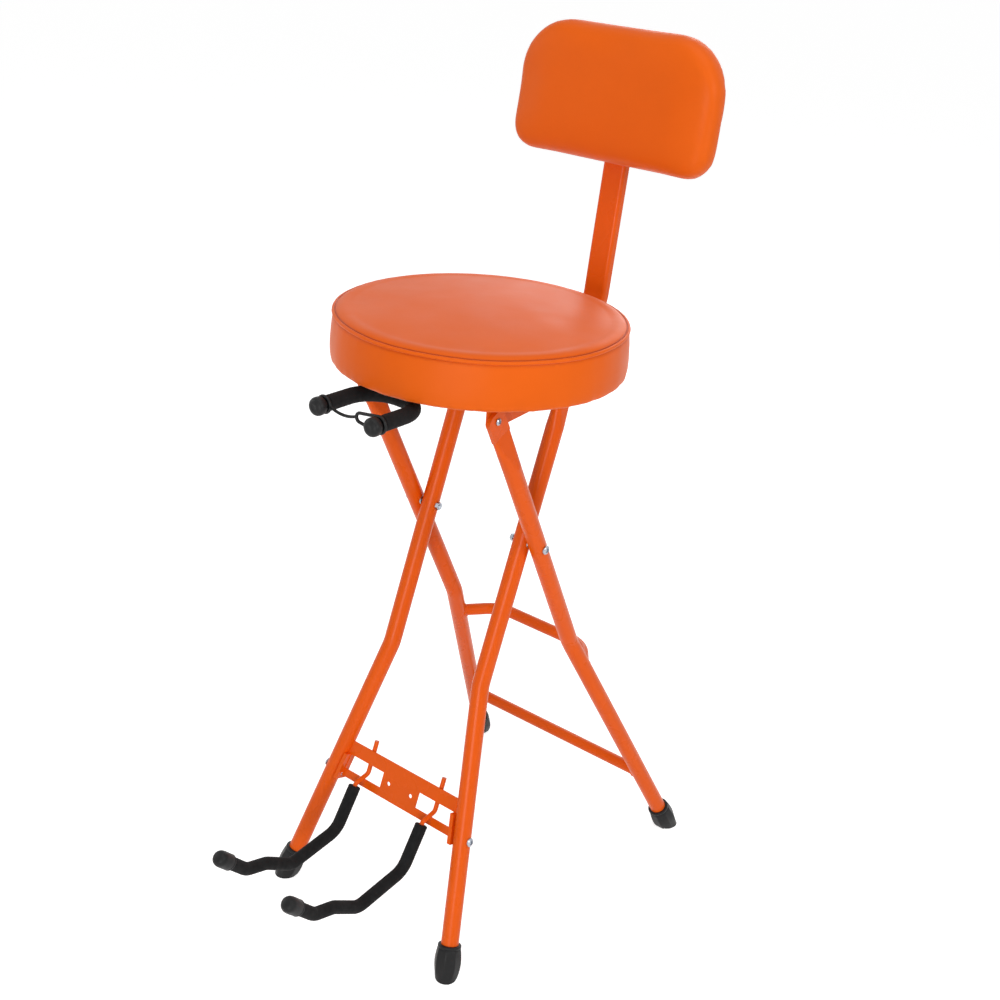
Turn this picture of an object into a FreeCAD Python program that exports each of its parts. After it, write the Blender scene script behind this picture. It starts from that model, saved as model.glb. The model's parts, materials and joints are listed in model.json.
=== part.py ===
import FreeCAD, Part
import math
import os
import re
import Sketcher

# Folding guitar stool: round padded seat on two crossed tube frames, a padded back on a flat
# tube post, a sliding neck yoke under the seat's front and two swinging cradle arms low down.
# Millimetres and degrees. +Z is up, the user faces -Y, and the user's left is +X.

Vector = FreeCAD.Vector
Constraint = Sketcher.Constraint

SIZES = [
    # stance of the crossed frames
    ("seat_y", 24.5, "seat centre behind the origin"),
    ("pivot_back", 14.6, "scissor pivot behind the seat centre"),
    ("pivot_z", 512.4, "height of the scissor pivot"),
    ("inner_lean", 19, "inner frame, top leaning to the rear"),
    ("outer_lean", 28.35, "outer frame, top leaning to the front"),
    ("pivot_reach", 211, "scissor pivot to front pivot and to slide pin"),
    ("fold_angle", 19.5, "turn of the outer frame from open to folded"),
    # leg tubes
    ("leg_tube", 22, "leg tube, outside"),
    ("leg_wall", 1.5, "leg tube, wall"),
    ("inner_leg_x", 73, "inner leg from the middle plane"),
    ("inner_foot_x", 141.5, "inner foot from the middle plane, on the floor"),
    ("outer_foot_x", 174.6, "outer foot from the middle plane, on the floor"),
    ("inner_bend", 186, "inner leg bend below the scissor pivot"),
    ("outer_bend", 188, "outer leg bend below the scissor pivot"),
    ("leg_bend_radius", 60, "centreline radius of the leg bends"),
    ("tang_thick", 5, "flattened leg top, thickness"),
    ("tang_wide", 28, "flattened leg top, width"),
    ("tang_top", 10, "flattened leg top above its hole"),
    ("tang_flat", 22, "flattened leg top, flat length below its hole"),
    ("tang_taper", 48, "flattened leg top, length of the change to round"),
    ("tang_lip", 0.08, "step round the ends of that change"),
    # bars of the outer frame
    ("bar_tube", 16, "cross bars, outside"),
    ("bar_wall", 1.5, "cross bars, wall"),
    ("crossbar_z", 105.5, "height of the straight rear bar"),
    ("bow_z", 302, "height of the bowed rear bar"),
    ("bow_depth", 48, "bowed bar behind its legs"),
    ("bow_corner_x", 70, "corner of the bowed bar from the middle plane"),
    ("bow_radius", 45, "corner radius of the bowed bar"),
    # rubber feet
    ("foot_height", 41, "foot, floor to rim along the leg"),
    ("foot_sole", 10, "rubber below the tube's end"),
    ("foot_rim", 28, "foot diameter at the rim"),
    ("foot_belly", 33, "foot diameter at its widest"),
    ("foot_belly_height", 20, "widest place above the floor"),
    ("foot_base", 26, "foot diameter at the floor"),
    # pivots and fasteners
    ("pivot_bolt", 6, "pivot bolt shank"),
    ("bolt_head", 11, "pivot bolt head"),
    ("bolt_head_thick", 4, "pivot bolt head, thickness"),
    ("front_head", 8, "front pivot bolt head"),
    ("front_head_thick", 3, "front pivot bolt head, thickness"),
    ("nut_flats", 9, "nut across flats"),
    ("nut_thick", 4, "nut, thickness"),
    ("pivot_washer", 2, "washer between the crossed legs"),
    ("washer_size", 12, "washer, outside"),
    ("slide_pin", 8, "slide pin, outside"),
    ("slide_collar", 14, "slide pin collar, outside"),
    ("slide_collar_thick", 3, "slide pin collar, thickness"),
    ("wood_screw", 4, "wood screw shank"),
    ("wood_screw_head", 8, "wood screw head"),
    ("wood_screw_head_thick", 2.5, "wood screw head, thickness"),
    ("wood_screw_bite", 9, "wood screw length in the board"),
    # seat rails
    ("rail_rise", 26, "front pivot below the board"),
    ("rail_sheet", 2, "rail sheet thickness"),
    ("rail_nose", 12, "rail in front of the front pivot"),
    ("rail_inner_start", 14, "rail's slotted side behind the front pivot"),
    ("rail_tail", 16, "rail behind the slide pin"),
    ("rail_under", 11, "rail below the slot line"),
    # seat
    ("seat_radius", 170, "seat at its side band"),
    ("seat_band", 56, "side band, rim to piping"),
    ("seat_crown", 9, "rise of the seat's middle above the piping"),
    ("seat_draw", 3, "side band drawn in at its rim"),
    ("piping", 6, "piping diameter"),
    ("board_inset", 14, "seat board inside the side band"),
    ("board_thick", 12, "seat board thickness"),
    ("rim_drop", 2, "cover rim below the board"),
    # neck yoke
    ("yoke_drop", 15.5, "yoke below the board"),
    ("yoke_reach", 49, "yoke knobs in front of the side band"),
    ("yoke_half", 40, "yoke arm from the middle plane"),
    ("yoke_depth", 84, "yoke knobs to its closed end"),
    ("yoke_bend", 36, "yoke corner radius"),
    ("yoke_rod", 8, "yoke rod"),
    ("yoke_sleeve", 18, "yoke sleeve, outside"),
    ("yoke_knob", 21, "yoke knob diameter"),
    ("yoke_knob_deep", 13, "yoke knob, front to neck"),
    ("yoke_neck", 14, "yoke knob neck diameter"),
    ("yoke_neck_length", 6, "yoke knob neck length"),
    ("strap_band", 3.4, "strap band diameter"),
    ("strap_eye", 4.4, "band diameter of the strap's ring and loop"),
    ("strap_loop", 16, "extra length of the strap's hooked loop"),
    ("strap_sag", 5, "sag of the strap"),
    ("slide_bar", 10, "yoke slide bar"),
    ("slide_bar_past", 5, "yoke slide bar end behind the seat centre"),
    ("guide_front", 45, "yoke guide in front of the seat centre"),
    ("guide_length", 80, "yoke guide length"),
    ("guide_width", 26, "yoke guide width"),
    ("guide_floor", 6, "yoke guide below its bore"),
    ("flange_thick", 3, "screw flanges of guide and socket"),
    ("flange_reach", 16, "screw flanges beyond guide and socket"),
    # clamp screws
    ("clamp_screw", 6, "clamp screw shank"),
    ("clamp_head", 26, "clamp screw head"),
    ("clamp_head_thick", 11, "clamp screw head, thickness"),
    ("clamp_stand", 4, "clamp screw head below its seat"),
    # backrest
    ("post_width", 32, "back post width"),
    ("post_thick", 15, "back post thickness"),
    ("post_wall", 1.5, "back post wall"),
    ("post_corner", 4.5, "back post corner radius"),
    ("post_gap", 55, "back post corner behind the side band"),
    ("post_stub", 6, "back post front end ahead of its socket"),
    ("post_drop", 11.5, "back post below the board"),
    ("post_lean", 6, "back post lean"),
    ("post_bend", 60, "back post bend radius"),
    ("post_length", 345, "back post above its corner"),
    ("socket_inset", 7, "back socket inside the board's edge"),
    ("socket_length", 52, "back socket length"),
    ("socket_wall", 2.5, "back socket wall"),
    ("pad_overlap", 133, "back post end above the pad's lower edge"),
    ("pad_width", 282, "back pad width"),
    ("pad_height", 162, "back pad height"),
    ("pad_thick", 38, "back pad thickness"),
    ("pad_top_radius", 67, "back pad upper corners"),
    ("pad_bottom_radius", 31, "back pad lower corners"),
    ("back_board_thick", 9, "back board thickness"),
    ("back_board_inset", 14, "back board inside the pad's outline"),
    ("back_screw_low", 30, "lower back screw above the pad's lower edge"),
    ("back_screw_pitch", 75, "back screws apart"),
    # guitar cradle
    ("hook_drop", 368.4, "cradle plate's hook edge below the scissor pivot"),
    ("plate_sheet", 2, "cradle plate thickness"),
    ("plate_lower", 10.5, "cradle plate below the hook edge"),
    ("plate_window", 21.2, "cradle plate window height"),
    ("plate_upper", 18, "cradle plate above its windows"),
    ("plate_web", 30, "half width of the plate's middle web"),
    ("plate_end", 6, "plate between window and leg"),
    ("plate_hole", 5.5, "round holes of the middle web"),
    ("plate_hole_x", 18.5, "round holes from the middle plane"),
    ("plate_tab", 18, "depth of the plate's end tabs"),
    ("plate_tab_sheet", 5, "thickness of the end tabs, tapped for the bolts"),
    ("plate_bolt_drop", 6, "plate bolt below the hook edge"),
    ("cradle_x", 57, "cradle arm from the middle plane"),
    ("cradle_rod", 6, "cradle rod"),
    ("cradle_sleeve", 16, "cradle sleeve, outside"),
    ("sleeve_start", 4, "cradle sleeve below the rod's shoulder"),
    ("tip_cap", 20, "cradle end cap, outside"),
    ("tip_grip", 16, "cradle end cap over its sleeve"),
    ("cradle_slope", 27.7, "slope of the rod through the window"),
    ("cradle_nub", 52, "cradle rod end above the hook edge"),
    ("cradle_out", 15.7, "rod shoulder in front of the plate"),
    ("knee_out", 30, "cradle knee in front of the plate"),
    ("knee_drop", 66, "cradle knee below the hook edge"),
    ("low_out", 101, "cradle low point in front of the plate"),
    ("low_drop", 100, "cradle low point below the hook edge"),
    ("crest_out", 149, "cradle crest in front of the plate"),
    ("crest_drop", 89, "cradle crest below the hook edge"),
    ("shelf_out", 182, "cradle shelf in front of the plate"),
    ("shelf_drop", 90.5, "cradle shelf below the hook edge"),
    ("tip_out", 229, "cradle tip in front of the plate"),
    ("tip_drop", 68, "cradle tip below the hook edge"),
    ("cradle_bend", 26, "bend radius of the cradle arm"),
    # clearances
    ("run_fit", 0.05, "running clearance on a radius"),
    ("running_gap", 0.4, "gap between flat pieces that turn or slide"),
    ("slot_play", 0.3, "slide pin clearance in its slot, on a radius"),
    ("soft_gap", 0.3, "gap round soft pieces"),
    ("weld_gap", 0.05, "gap at welded and pressed joints"),
]

PLACES = [
    ("pivot_y", "seat_y + pivot_back"),
    ("front_y", "pivot_y - pivot_reach * sin(outer_lean)"),
    ("front_z", "pivot_z + pivot_reach * cos(outer_lean)"),
    ("board_z", "front_z + rail_rise"),
    ("board_radius", "seat_radius - board_inset"),
    # the slot runs from the front pivot's line to the slide pin, and the pin moves along it
    ("slot_tilt", "(outer_lean - inner_lean) / 2"),
    ("slot_long", "2 * pivot_reach * sin((inner_lean + outer_lean) / 2)"),
    ("slot_short", "2 * pivot_reach * sin((inner_lean + outer_lean) / 2 - fold_angle)"),
    ("rail_end", "slot_long * cos(slot_tilt) + rail_tail"),
    ("rail_front_low", "-rail_nose * tan(slot_tilt) - rail_under / cos(slot_tilt)"),
    ("rail_inner_low", "rail_inner_start * tan(slot_tilt) - rail_under / cos(slot_tilt)"),
    ("rail_rear_low", "rail_end * tan(slot_tilt) - rail_under / cos(slot_tilt)"),
    ("outer_leg_x", "inner_leg_x + leg_tube + pivot_washer"),
    ("rail_in", "inner_leg_x + tang_thick / 2 + running_gap"),
    ("rail_out", "outer_leg_x - tang_thick / 2 - running_gap"),
    # the frames, measured along their own planes from the scissor pivot
    ("inner_floor", "pivot_z / cos(inner_lean)"),
    ("outer_floor", "pivot_z / cos(outer_lean)"),
    ("inner_flare", "atan((inner_foot_x - inner_leg_x) / (inner_floor - inner_bend)) / 1 deg"),
    ("outer_flare", "atan((outer_foot_x - outer_leg_x) / (outer_floor - outer_bend)) / 1 deg"),
    ("tang_low", "pivot_reach - tang_flat"),
    ("tang_round", "tang_low - tang_taper"),
    ("crossbar_low", "(pivot_z - crossbar_z) / cos(outer_lean)"),
    ("crossbar_x", "outer_leg_x + (crossbar_low - outer_bend) * tan(outer_flare)"),
    ("bow_low", "(pivot_z - bow_z) / cos(outer_lean)"),
    ("bow_x", "outer_leg_x + (bow_low - outer_bend) * tan(outer_flare)"),
    ("bow_y", "pivot_y + (pivot_z - bow_z) * tan(outer_lean)"),
    # the cradle plate between the inner legs
    ("plate_bottom", "-hook_drop - plate_lower"),
    ("window_top", "-hook_drop + plate_window"),
    ("plate_top", "window_top + plate_upper"),
    ("side_play", "(leg_tube / 2 + weld_gap) / cos(inner_flare)"),
    ("tab_slant", "plate_tab_sheet / cos(inner_flare)"),
    ("tab_low", "plate_bottom - plate_lower / 2"),
    ("bolt_low", "hook_drop + plate_bolt_drop"),
    ("bolt_x", "inner_leg_x + (bolt_low - inner_bend) * tan(inner_flare)"),
    # the cradle arm hooks over the plate's lower rail, which is its hinge
    ("hook_y", "pivot_y - hook_drop * sin(inner_lean)"),
    ("hook_z", "pivot_z - hook_drop * cos(inner_lean)"),
    ("rod_behind", "plate_sheet / 2 + cradle_rod / 2 + soft_gap"),
    ("rod_over", "(cradle_rod / 2 + soft_gap + plate_sheet / 2) / cos(cradle_slope)"),
    ("hook_rise", "rod_over + rod_behind * tan(cradle_slope)"),
    ("shoulder", "rod_over - cradle_out * tan(cradle_slope)"),
    ("knee_turn", "atan((knee_out - cradle_out) / (knee_drop + shoulder)) / 1 deg"),
    ("tip_turn", "atan((tip_out - shelf_out) / (shelf_drop - tip_drop)) / 1 deg"),
    # seat, measured from the middle of the board's underside
    ("piping_z", "seat_band - rim_drop"),
    ("ledge_z", "piping_z - piping / 2 - soft_gap"),
    ("ledge_r", "seat_radius - piping - soft_gap"),
    # yoke and backrest, measured the same way
    ("yoke_tip", "seat_radius + yoke_reach"),
    ("yoke_back", "yoke_tip - yoke_depth"),
    ("slide_bar_length", "yoke_back + slide_bar_past"),
    ("sleeve_front", "yoke_tip - yoke_knob_deep / 2 - yoke_neck_length - soft_gap"),
    ("strap_y", "yoke_tip - yoke_knob_deep / 2 - yoke_neck_length / 2"),
    ("strap_ring", "yoke_neck / 2 + soft_gap + strap_eye / 2"),
    ("guide_screw_y", "guide_length / 2 - flange_reach / 2"),
    ("guide_middle", "guide_length / 2 - guide_front"),
    ("socket_front", "board_radius - socket_inset - socket_length"),
    ("socket_middle", "socket_front + socket_length / 2"),
    ("socket_x", "post_width / 2 + running_gap + socket_wall"),
    ("socket_low", "post_drop + post_thick / 2 + running_gap + socket_wall"),
    ("post_back", "seat_radius + post_gap"),
    ("post_front", "socket_front - post_stub"),
    ("post_run", "post_back - post_front"),
    ("pad_lift", "post_length - pad_overlap"),
    ("back_face", "post_thick / 2"),
]

doc = FreeCAD.newDocument("guitar_stool")
sheet_of = {}
nodes = {}


def fill_sheet(name, rows):
    sheet = doc.addObject("Spreadsheet::Sheet", name)
    for row, (alias, content, *note) in enumerate(rows, start=1):
        sheet.set(f"A{row}", alias)
        sheet.set(f"B{row}", content)
        sheet.setAlias(f"B{row}", alias)
        sheet.set(f"C{row}", note[0] if note else "")
        sheet_of[alias] = name
    return sheet


def full(text):
    # Adds its sheet's name to each size or place named in an expression.
    def with_sheet(match):
        word = match.group(0)
        return f"{sheet_of[word]}.{word}" if word in sheet_of else word
    return re.sub(r"[A-Za-z_]\w*", with_sheet, str(text))


fill_sheet("Sizes", [(alias, str(value), note) for alias, value, note in SIZES])
sheet_of.update({alias: "Places" for alias, formula in PLACES})
fill_sheet("Places", [(alias, "=" + full(formula)) for alias, formula in PLACES])
probe = doc.addObject("Spreadsheet::Sheet", "Probe")
doc.recompute()


def number(text):
    # Works out an expression in a spare cell.
    probe.set("A1", "=" + full(text))
    probe.recompute()
    return float(probe.get("A1"))


def bind(item, prop, text):
    item.setExpression(prop, full(text))


def place(item, base=("0", "0", "0"), axis=None, angle="0"):
    if axis:
        item.Placement = FreeCAD.Placement(Vector(), FreeCAD.Rotation(Vector(*axis), number(angle)))
        bind(item, "Placement.Rotation.Angle", angle)
    for letter, text in zip("xyz", base):
        bind(item, f"Placement.Base.{letter}", text)
    return item


AXIS_X, AXIS_Y, AXIS_Z = (1, 0, 0), (0, 1, 0), (0, 0, 1)
PIVOT = ("0", "pivot_y", "pivot_z")


def in_seat(item):
    return place(item, ("0", "seat_y", "board_z"))


def in_outer(item):
    return place(item, PIVOT, AXIS_X, "outer_lean")


def in_inner(item):
    return place(item, PIVOT, AXIS_X, "-inner_lean")


def in_back(item):
    return place(item, ("0", "seat_y + post_back", "board_z - post_drop"), AXIS_X, "-post_lean")


def in_rail(item):
    return place(item, ("0", "front_y", "front_z"))


def node(label, item):
    item.Label = label
    nodes[label] = item
    return item


# Solids and booleans


def cylinder(radius, length, base=("0", "0", "0"), axis=None, angle="0"):
    item = doc.addObject("Part::Cylinder", "Cylinder")
    bind(item, "Radius", radius)
    bind(item, "Height", length)
    return place(item, base, axis, angle)


def box(low, high):
    item = doc.addObject("Part::Box", "Box")
    for side, start, end in zip(("Length", "Width", "Height"), low, high):
        bind(item, side, f"({end}) - ({start})")
    return place(item, low)


def hexagon(flats, length, base, axis, angle):
    item = doc.addObject("Part::Prism", "Prism")
    item.Polygon = 6
    bind(item, "Circumradius", f"({flats}) / 2 / cos(30)")
    bind(item, "Height", length)
    return place(item, base, axis, angle)


def group(*items):
    item = doc.addObject("Part::Compound", "Group")
    item.Links = list(items)
    return item


def fuse(*items):
    item = doc.addObject("Part::MultiFuse", "Fuse")
    item.Shapes = list(items)
    return item


def cut(base, *tools):
    item = doc.addObject("Part::Cut", "Cut")
    item.Base = base
    item.Tool = tools[0] if len(tools) == 1 else group(*tools)
    return item


def mirror(source):
    item = doc.addObject("Part::Mirroring", "Mirror")
    item.Source = source
    item.Normal = Vector(*AXIS_X)
    return item


def pair(left):
    return group(left, mirror(left))


def sided(label, left):
    node(label + "_left", left)
    node(label + "_right", mirror(left))


# Sketches


def new_body():
    return doc.addObject("PartDesign::Body", "Body")


def origin_plane(body, role):
    return next(item for item in body.Origin.OriginFeatures if item.Role == role)


def sketch(body, role, offset=("0", "0", "0"), axis=None, angle="0"):
    item = body.newObject("Sketcher::SketchObject", "Sketch")
    item.AttachmentSupport = [(origin_plane(body, role), "")]
    item.MapMode = "FlatFace"
    if axis:
        turned = FreeCAD.Rotation(Vector(*axis), number(angle))
        item.AttachmentOffset = FreeCAD.Placement(Vector(), turned)
        bind(item, "AttachmentOffset.Rotation.Angle", angle)
    for letter, text in zip("xyz", offset):
        bind(item, f"AttachmentOffset.Base.{letter}", text)
    return item


def limit(item, kind, geometry, text):
    index = item.addConstraint(Constraint(kind, *geometry, number(text)))
    bind(item, f"Constraints[{index}]", text)


def pin_point(item, geometry, position, x, y):
    for kind, text in (("DistanceX", x), ("DistanceY", y)):
        if number(text) == 0 and text == "0":
            axis = -2 if kind == "DistanceX" else -1
            item.addConstraint(Constraint("PointOnObject", geometry, position, axis))
        else:
            limit(item, kind, (-1, 1, geometry, position), text)


def circle(item, diameter, x="0", y="0"):
    centre = Vector(number(x), number(y), 0)
    index = item.addGeometry(Part.Circle(centre, Vector(*AXIS_Z), number(diameter) / 2))
    if x == "0" and y == "0":
        item.addConstraint(Constraint("Coincident", index, 3, -1, 1))
    else:
        pin_point(item, index, 3, x, y)
    limit(item, "Diameter", (index,), diameter)


def corner_arc(before, corner, after, radius):
    # Tangent points and middle of the arc that rounds a corner.
    back = (before - corner).normalize()
    ahead = (after - corner).normalize()
    half_turn = (math.pi - back.getAngle(ahead)) / 2
    reach = radius * math.tan(half_turn)
    inward = (back + ahead).normalize()
    middle = corner + inward * (radius / math.cos(half_turn) - radius)
    return corner + back * reach, middle, corner + ahead * reach


def add_bend(item, start, middle, end):
    # A sketch keeps its arcs anticlockwise.
    if (middle - start).cross(end - middle).z < 0:
        start, end = end, start
    return item.addGeometry(Part.Arc(start, middle, end))


def outline(item, corners, closed=True):
    # Straight runs through corners (x, y) or (x, y, radius), with the radii as tangent arcs.
    points = [Vector(number(x), number(y), 0) for x, y, *_ in corners]
    count = len(points)
    arcs = {}
    for i, (x, y, *radius) in enumerate(corners):
        if radius:
            arcs[i] = corner_arc(points[i - 1], points[i], points[(i + 1) % count], number(radius[0]))
    lines = []
    bends = {}
    for i in range(count if closed else count - 1):
        j = (i + 1) % count
        start = arcs[i][2] if i in arcs else points[i]
        end = arcs[j][0] if j in arcs else points[j]
        lines.append(item.addGeometry(Part.LineSegment(start, end)))
        if j in arcs:
            bends[j] = add_bend(item, *arcs[j])
    for i, (x, y, *radius) in enumerate(corners):
        before = lines[i - 1] if closed or i > 0 else None
        after = lines[i] if i < len(lines) else None
        if i in bends:
            tie_bend(item, before, bends[i], after, arcs[i][0])
            point = item.addGeometry(Part.Point(points[i]), True)
            pin_point(item, point, 1, x, y)
            item.addConstraint(Constraint("PointOnObject", point, 1, before))
            item.addConstraint(Constraint("PointOnObject", point, 1, after))
            limit(item, "Radius", (bends[i],), radius[0])
        elif before is None:
            pin_point(item, after, 1, x, y)
        else:
            pin_point(item, before, 2, x, y)
            if after is not None:
                item.addConstraint(Constraint("Coincident", before, 2, after, 1))


def tie_bend(item, before, bend, after, start):
    arc = item.Geometry[bend]
    forward = (arc.StartPoint - start).Length < (arc.EndPoint - start).Length
    first, last = (1, 2) if forward else (2, 1)
    item.addConstraint(Constraint("Tangent", before, 2, bend, first))
    item.addConstraint(Constraint("Tangent", bend, last, after, 1))


def rectangle(item, low_x, high_x, low_y, high_y, *radius):
    corners = ((low_x, low_y), (high_x, low_y), (high_x, high_y), (low_x, high_y))
    outline(item, [corner + radius for corner in corners])


def straight_slot(item, start, end, width):
    # Two half circles round the end centres, joined by straight sides.
    first = Vector(number(start[0]), number(start[1]), 0)
    last = Vector(number(end[0]), number(end[1]), 0)
    half = number(width) / 2
    along = (last - first).normalize()
    side = Vector(-along.y, along.x, 0) * half
    lower = item.addGeometry(Part.LineSegment(first - side, last - side))
    far = add_bend(item, last - side, last + along * half, last + side)
    upper = item.addGeometry(Part.LineSegment(last + side, first + side))
    near = add_bend(item, first + side, first - along * half, first - side)
    tie_bend(item, lower, far, upper, last - side)
    tie_bend(item, upper, near, lower, first + side)
    pin_point(item, near, 3, *start)
    pin_point(item, far, 3, *end)
    limit(item, "Radius", (near,), f"({width}) / 2")


# Features of a body


def pad(body, profile, length):
    item = body.newObject("PartDesign::Pad", "Pad")
    item.Profile = profile
    bind(item, "Length", length)
    return item


def revolve(body, profile):
    item = body.newObject("PartDesign::Revolution", "Revolution")
    item.Profile = profile
    item.ReferenceAxis = (profile, ["V_Axis"])
    item.Angle = 360
    return item


def pipe(body, path, section):
    path.recompute()
    item = body.newObject("PartDesign::AdditivePipe", "Pipe")
    item.Profile = section
    item.Spine = (path, [f"Edge{i + 1}" for i in range(len(path.Shape.Edges))])
    return item


def loft(body, sections):
    item = body.newObject("PartDesign::AdditiveLoft", "Loft")
    item.Profile = sections[0]
    item.Sections = sections[1:]
    return item


def pocket(body, profile, length, reversed_way=False):
    doc.recompute()
    before = body.Shape.Volume
    item = body.newObject("PartDesign::Pocket", "Pocket")
    item.Profile = profile
    item.Reversed = reversed_way
    bind(item, "Length", length)
    doc.recompute()
    if not body.Shape.Volume < before - 0.1:
        raise RuntimeError(f"{body.Label}: a pocket cut nothing")
    return item


def along_x(radius, start, end, y="0", z="0"):
    return cylinder(radius, f"({end}) - ({start})", (start, y, z), AXIS_Y, "90")


def nut_along_x(start, y="0", z="0"):
    blank = hexagon("nut_flats", "nut_thick", (start, y, z), AXIS_Y, "90")
    return cut(blank, along_x("pivot_bolt / 2 + weld_gap", start, f"{start} + nut_thick", y, z))


# Seat


SCREW_HOLE = "wood_screw / 2 + weld_gap"
RAIL_SCREW_X = "(rail_in + rail_out) / 2"
RAIL_SCREWS = ["rail_end * 0.2", "rail_end * 0.5", "rail_end * 0.8"]
GUIDE_SCREW_X = "guide_width / 2 + flange_reach / 2"
SOCKET_SCREW_X = "socket_x + flange_reach / 2"
GUIDE_SCREWS = ["guide_middle - guide_screw_y", "guide_middle + guide_screw_y"]
SOCKET_SCREWS = ["socket_front + flange_reach / 2", "socket_front + socket_length - flange_reach / 2"]


def screw_spots():
    # Wood screws of the seat: x, y from the seat centre, and the depth of the sheet they hold.
    rail = [(RAIL_SCREW_X, f"front_y - seat_y + {y}", "rail_sheet") for y in RAIL_SCREWS]
    guide = [(GUIDE_SCREW_X, y, "flange_thick") for y in GUIDE_SCREWS]
    socket = [(SOCKET_SCREW_X, y, "flange_thick") for y in SOCKET_SCREWS]
    return rail, guide, socket


def wood_screw(x, y, sheet):
    head = cylinder("wood_screw_head / 2", "wood_screw_head_thick", (x, y, f"-{sheet} - wood_screw_head_thick"))
    shank = cylinder("wood_screw / 2", f"{sheet} + wood_screw_bite", (x, y, f"-{sheet}"))
    return fuse(head, shank)


def screw_bore(x, y, depth):
    return pair(cylinder(SCREW_HOLE, f"{depth} + wood_screw_bite", (x, y, f"-{depth}")))


def seat():
    rail, guide, socket = screw_spots()
    disc = cylinder("board_radius", "board_thick")
    bores = [screw_bore(x, y, "soft_gap") for x, y, sheet in rail + guide + socket]
    node("seat_board", in_seat(cut(disc, *bores)))
    for label, spots in (("rail_screws", rail), ("guide_screws", guide), ("socket_screws", socket)):
        node(label, in_seat(group(*[pair(wood_screw(*spot)) for spot in spots])))
    cushion()
    piping = doc.addObject("Part::Torus", "Torus")
    bind(piping, "Radius1", "seat_radius - piping / 2")
    bind(piping, "Radius2", "piping / 2")
    node("seat_piping", place(piping, ("0", "seat_y", "board_z + piping_z")))


def cushion():
    # Crowned top, a ledge for the piping and a side band drawn in towards its rim.
    body = new_body()
    profile = sketch(body, "XZ_Plane")
    outline(profile, [
        ("0", "board_thick + soft_gap"),
        ("board_radius + soft_gap", "board_thick + soft_gap"),
        ("board_radius + soft_gap", "-rim_drop"),
        ("seat_radius - seat_draw", "-rim_drop", "seat_draw"),
        ("seat_radius", "seat_band * 0.4", "seat_band"),
        ("seat_radius - piping / 4", "ledge_z"),
        ("ledge_r", "ledge_z"),
        ("ledge_r", "piping_z + piping / 4"),
        ("seat_radius * 0.55", "piping_z + seat_crown", "seat_radius * 2"),
        ("0", "piping_z + seat_crown"),
    ])
    revolve(body, profile)
    node("seat_cushion", in_seat(body))


def seat_rail():
    # Channel under the board: its outer side carries the front pivot, its inner side the slot.
    body = new_body()
    tail = [("rail_end", "rail_rear_low", "rail_nose / 2"), ("rail_end", "rail_rise")]
    outer = sketch(body, "YZ_Plane", ("0", "0", "rail_out - rail_sheet"))
    nose = ("-rail_nose", "rail_front_low", "rail_nose * 0.8")
    outline(outer, [nose] + tail + [("-rail_nose", "rail_rise")])
    circle(outer, "pivot_bolt + 2 * weld_gap")
    pad(body, outer, "rail_sheet")
    web = sketch(body, "XY_Plane", ("0", "0", "rail_rise - rail_sheet"))
    rectangle(web, "rail_in", "rail_out", "-rail_nose", "rail_end")
    for y in RAIL_SCREWS:
        circle(web, f"2 * ({SCREW_HOLE})", RAIL_SCREW_X, y)
    pad(body, web, "rail_sheet")
    inner = sketch(body, "YZ_Plane", ("0", "0", "rail_in"))
    start = ("rail_inner_start", "rail_inner_low", "rail_nose / 2")
    outline(inner, [start] + tail + [("rail_inner_start", "rail_rise")])
    straight_slot(
        inner,
        ("slot_short * cos(slot_tilt)", "slot_short * sin(slot_tilt)"),
        ("slot_long * cos(slot_tilt)", "slot_long * sin(slot_tilt)"),
        "slide_pin + 2 * slot_play",
    )
    pad(body, inner, "rail_sheet")
    sided("seat_rail", in_rail(body))


def front_pivot():
    head_at = "outer_leg_x + tang_thick / 2 + running_gap"
    nut_at = "rail_out - rail_sheet - nut_thick"
    head = along_x("front_head / 2", head_at, f"{head_at} + front_head_thick")
    shank = along_x("pivot_bolt / 2", f"{nut_at} - leg_wall", head_at)
    sided("front_pivot_bolt", in_rail(fuse(head, shank)))
    node("front_pivot_nuts", in_rail(pair(nut_along_x(nut_at))))


# Crossed frames


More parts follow.
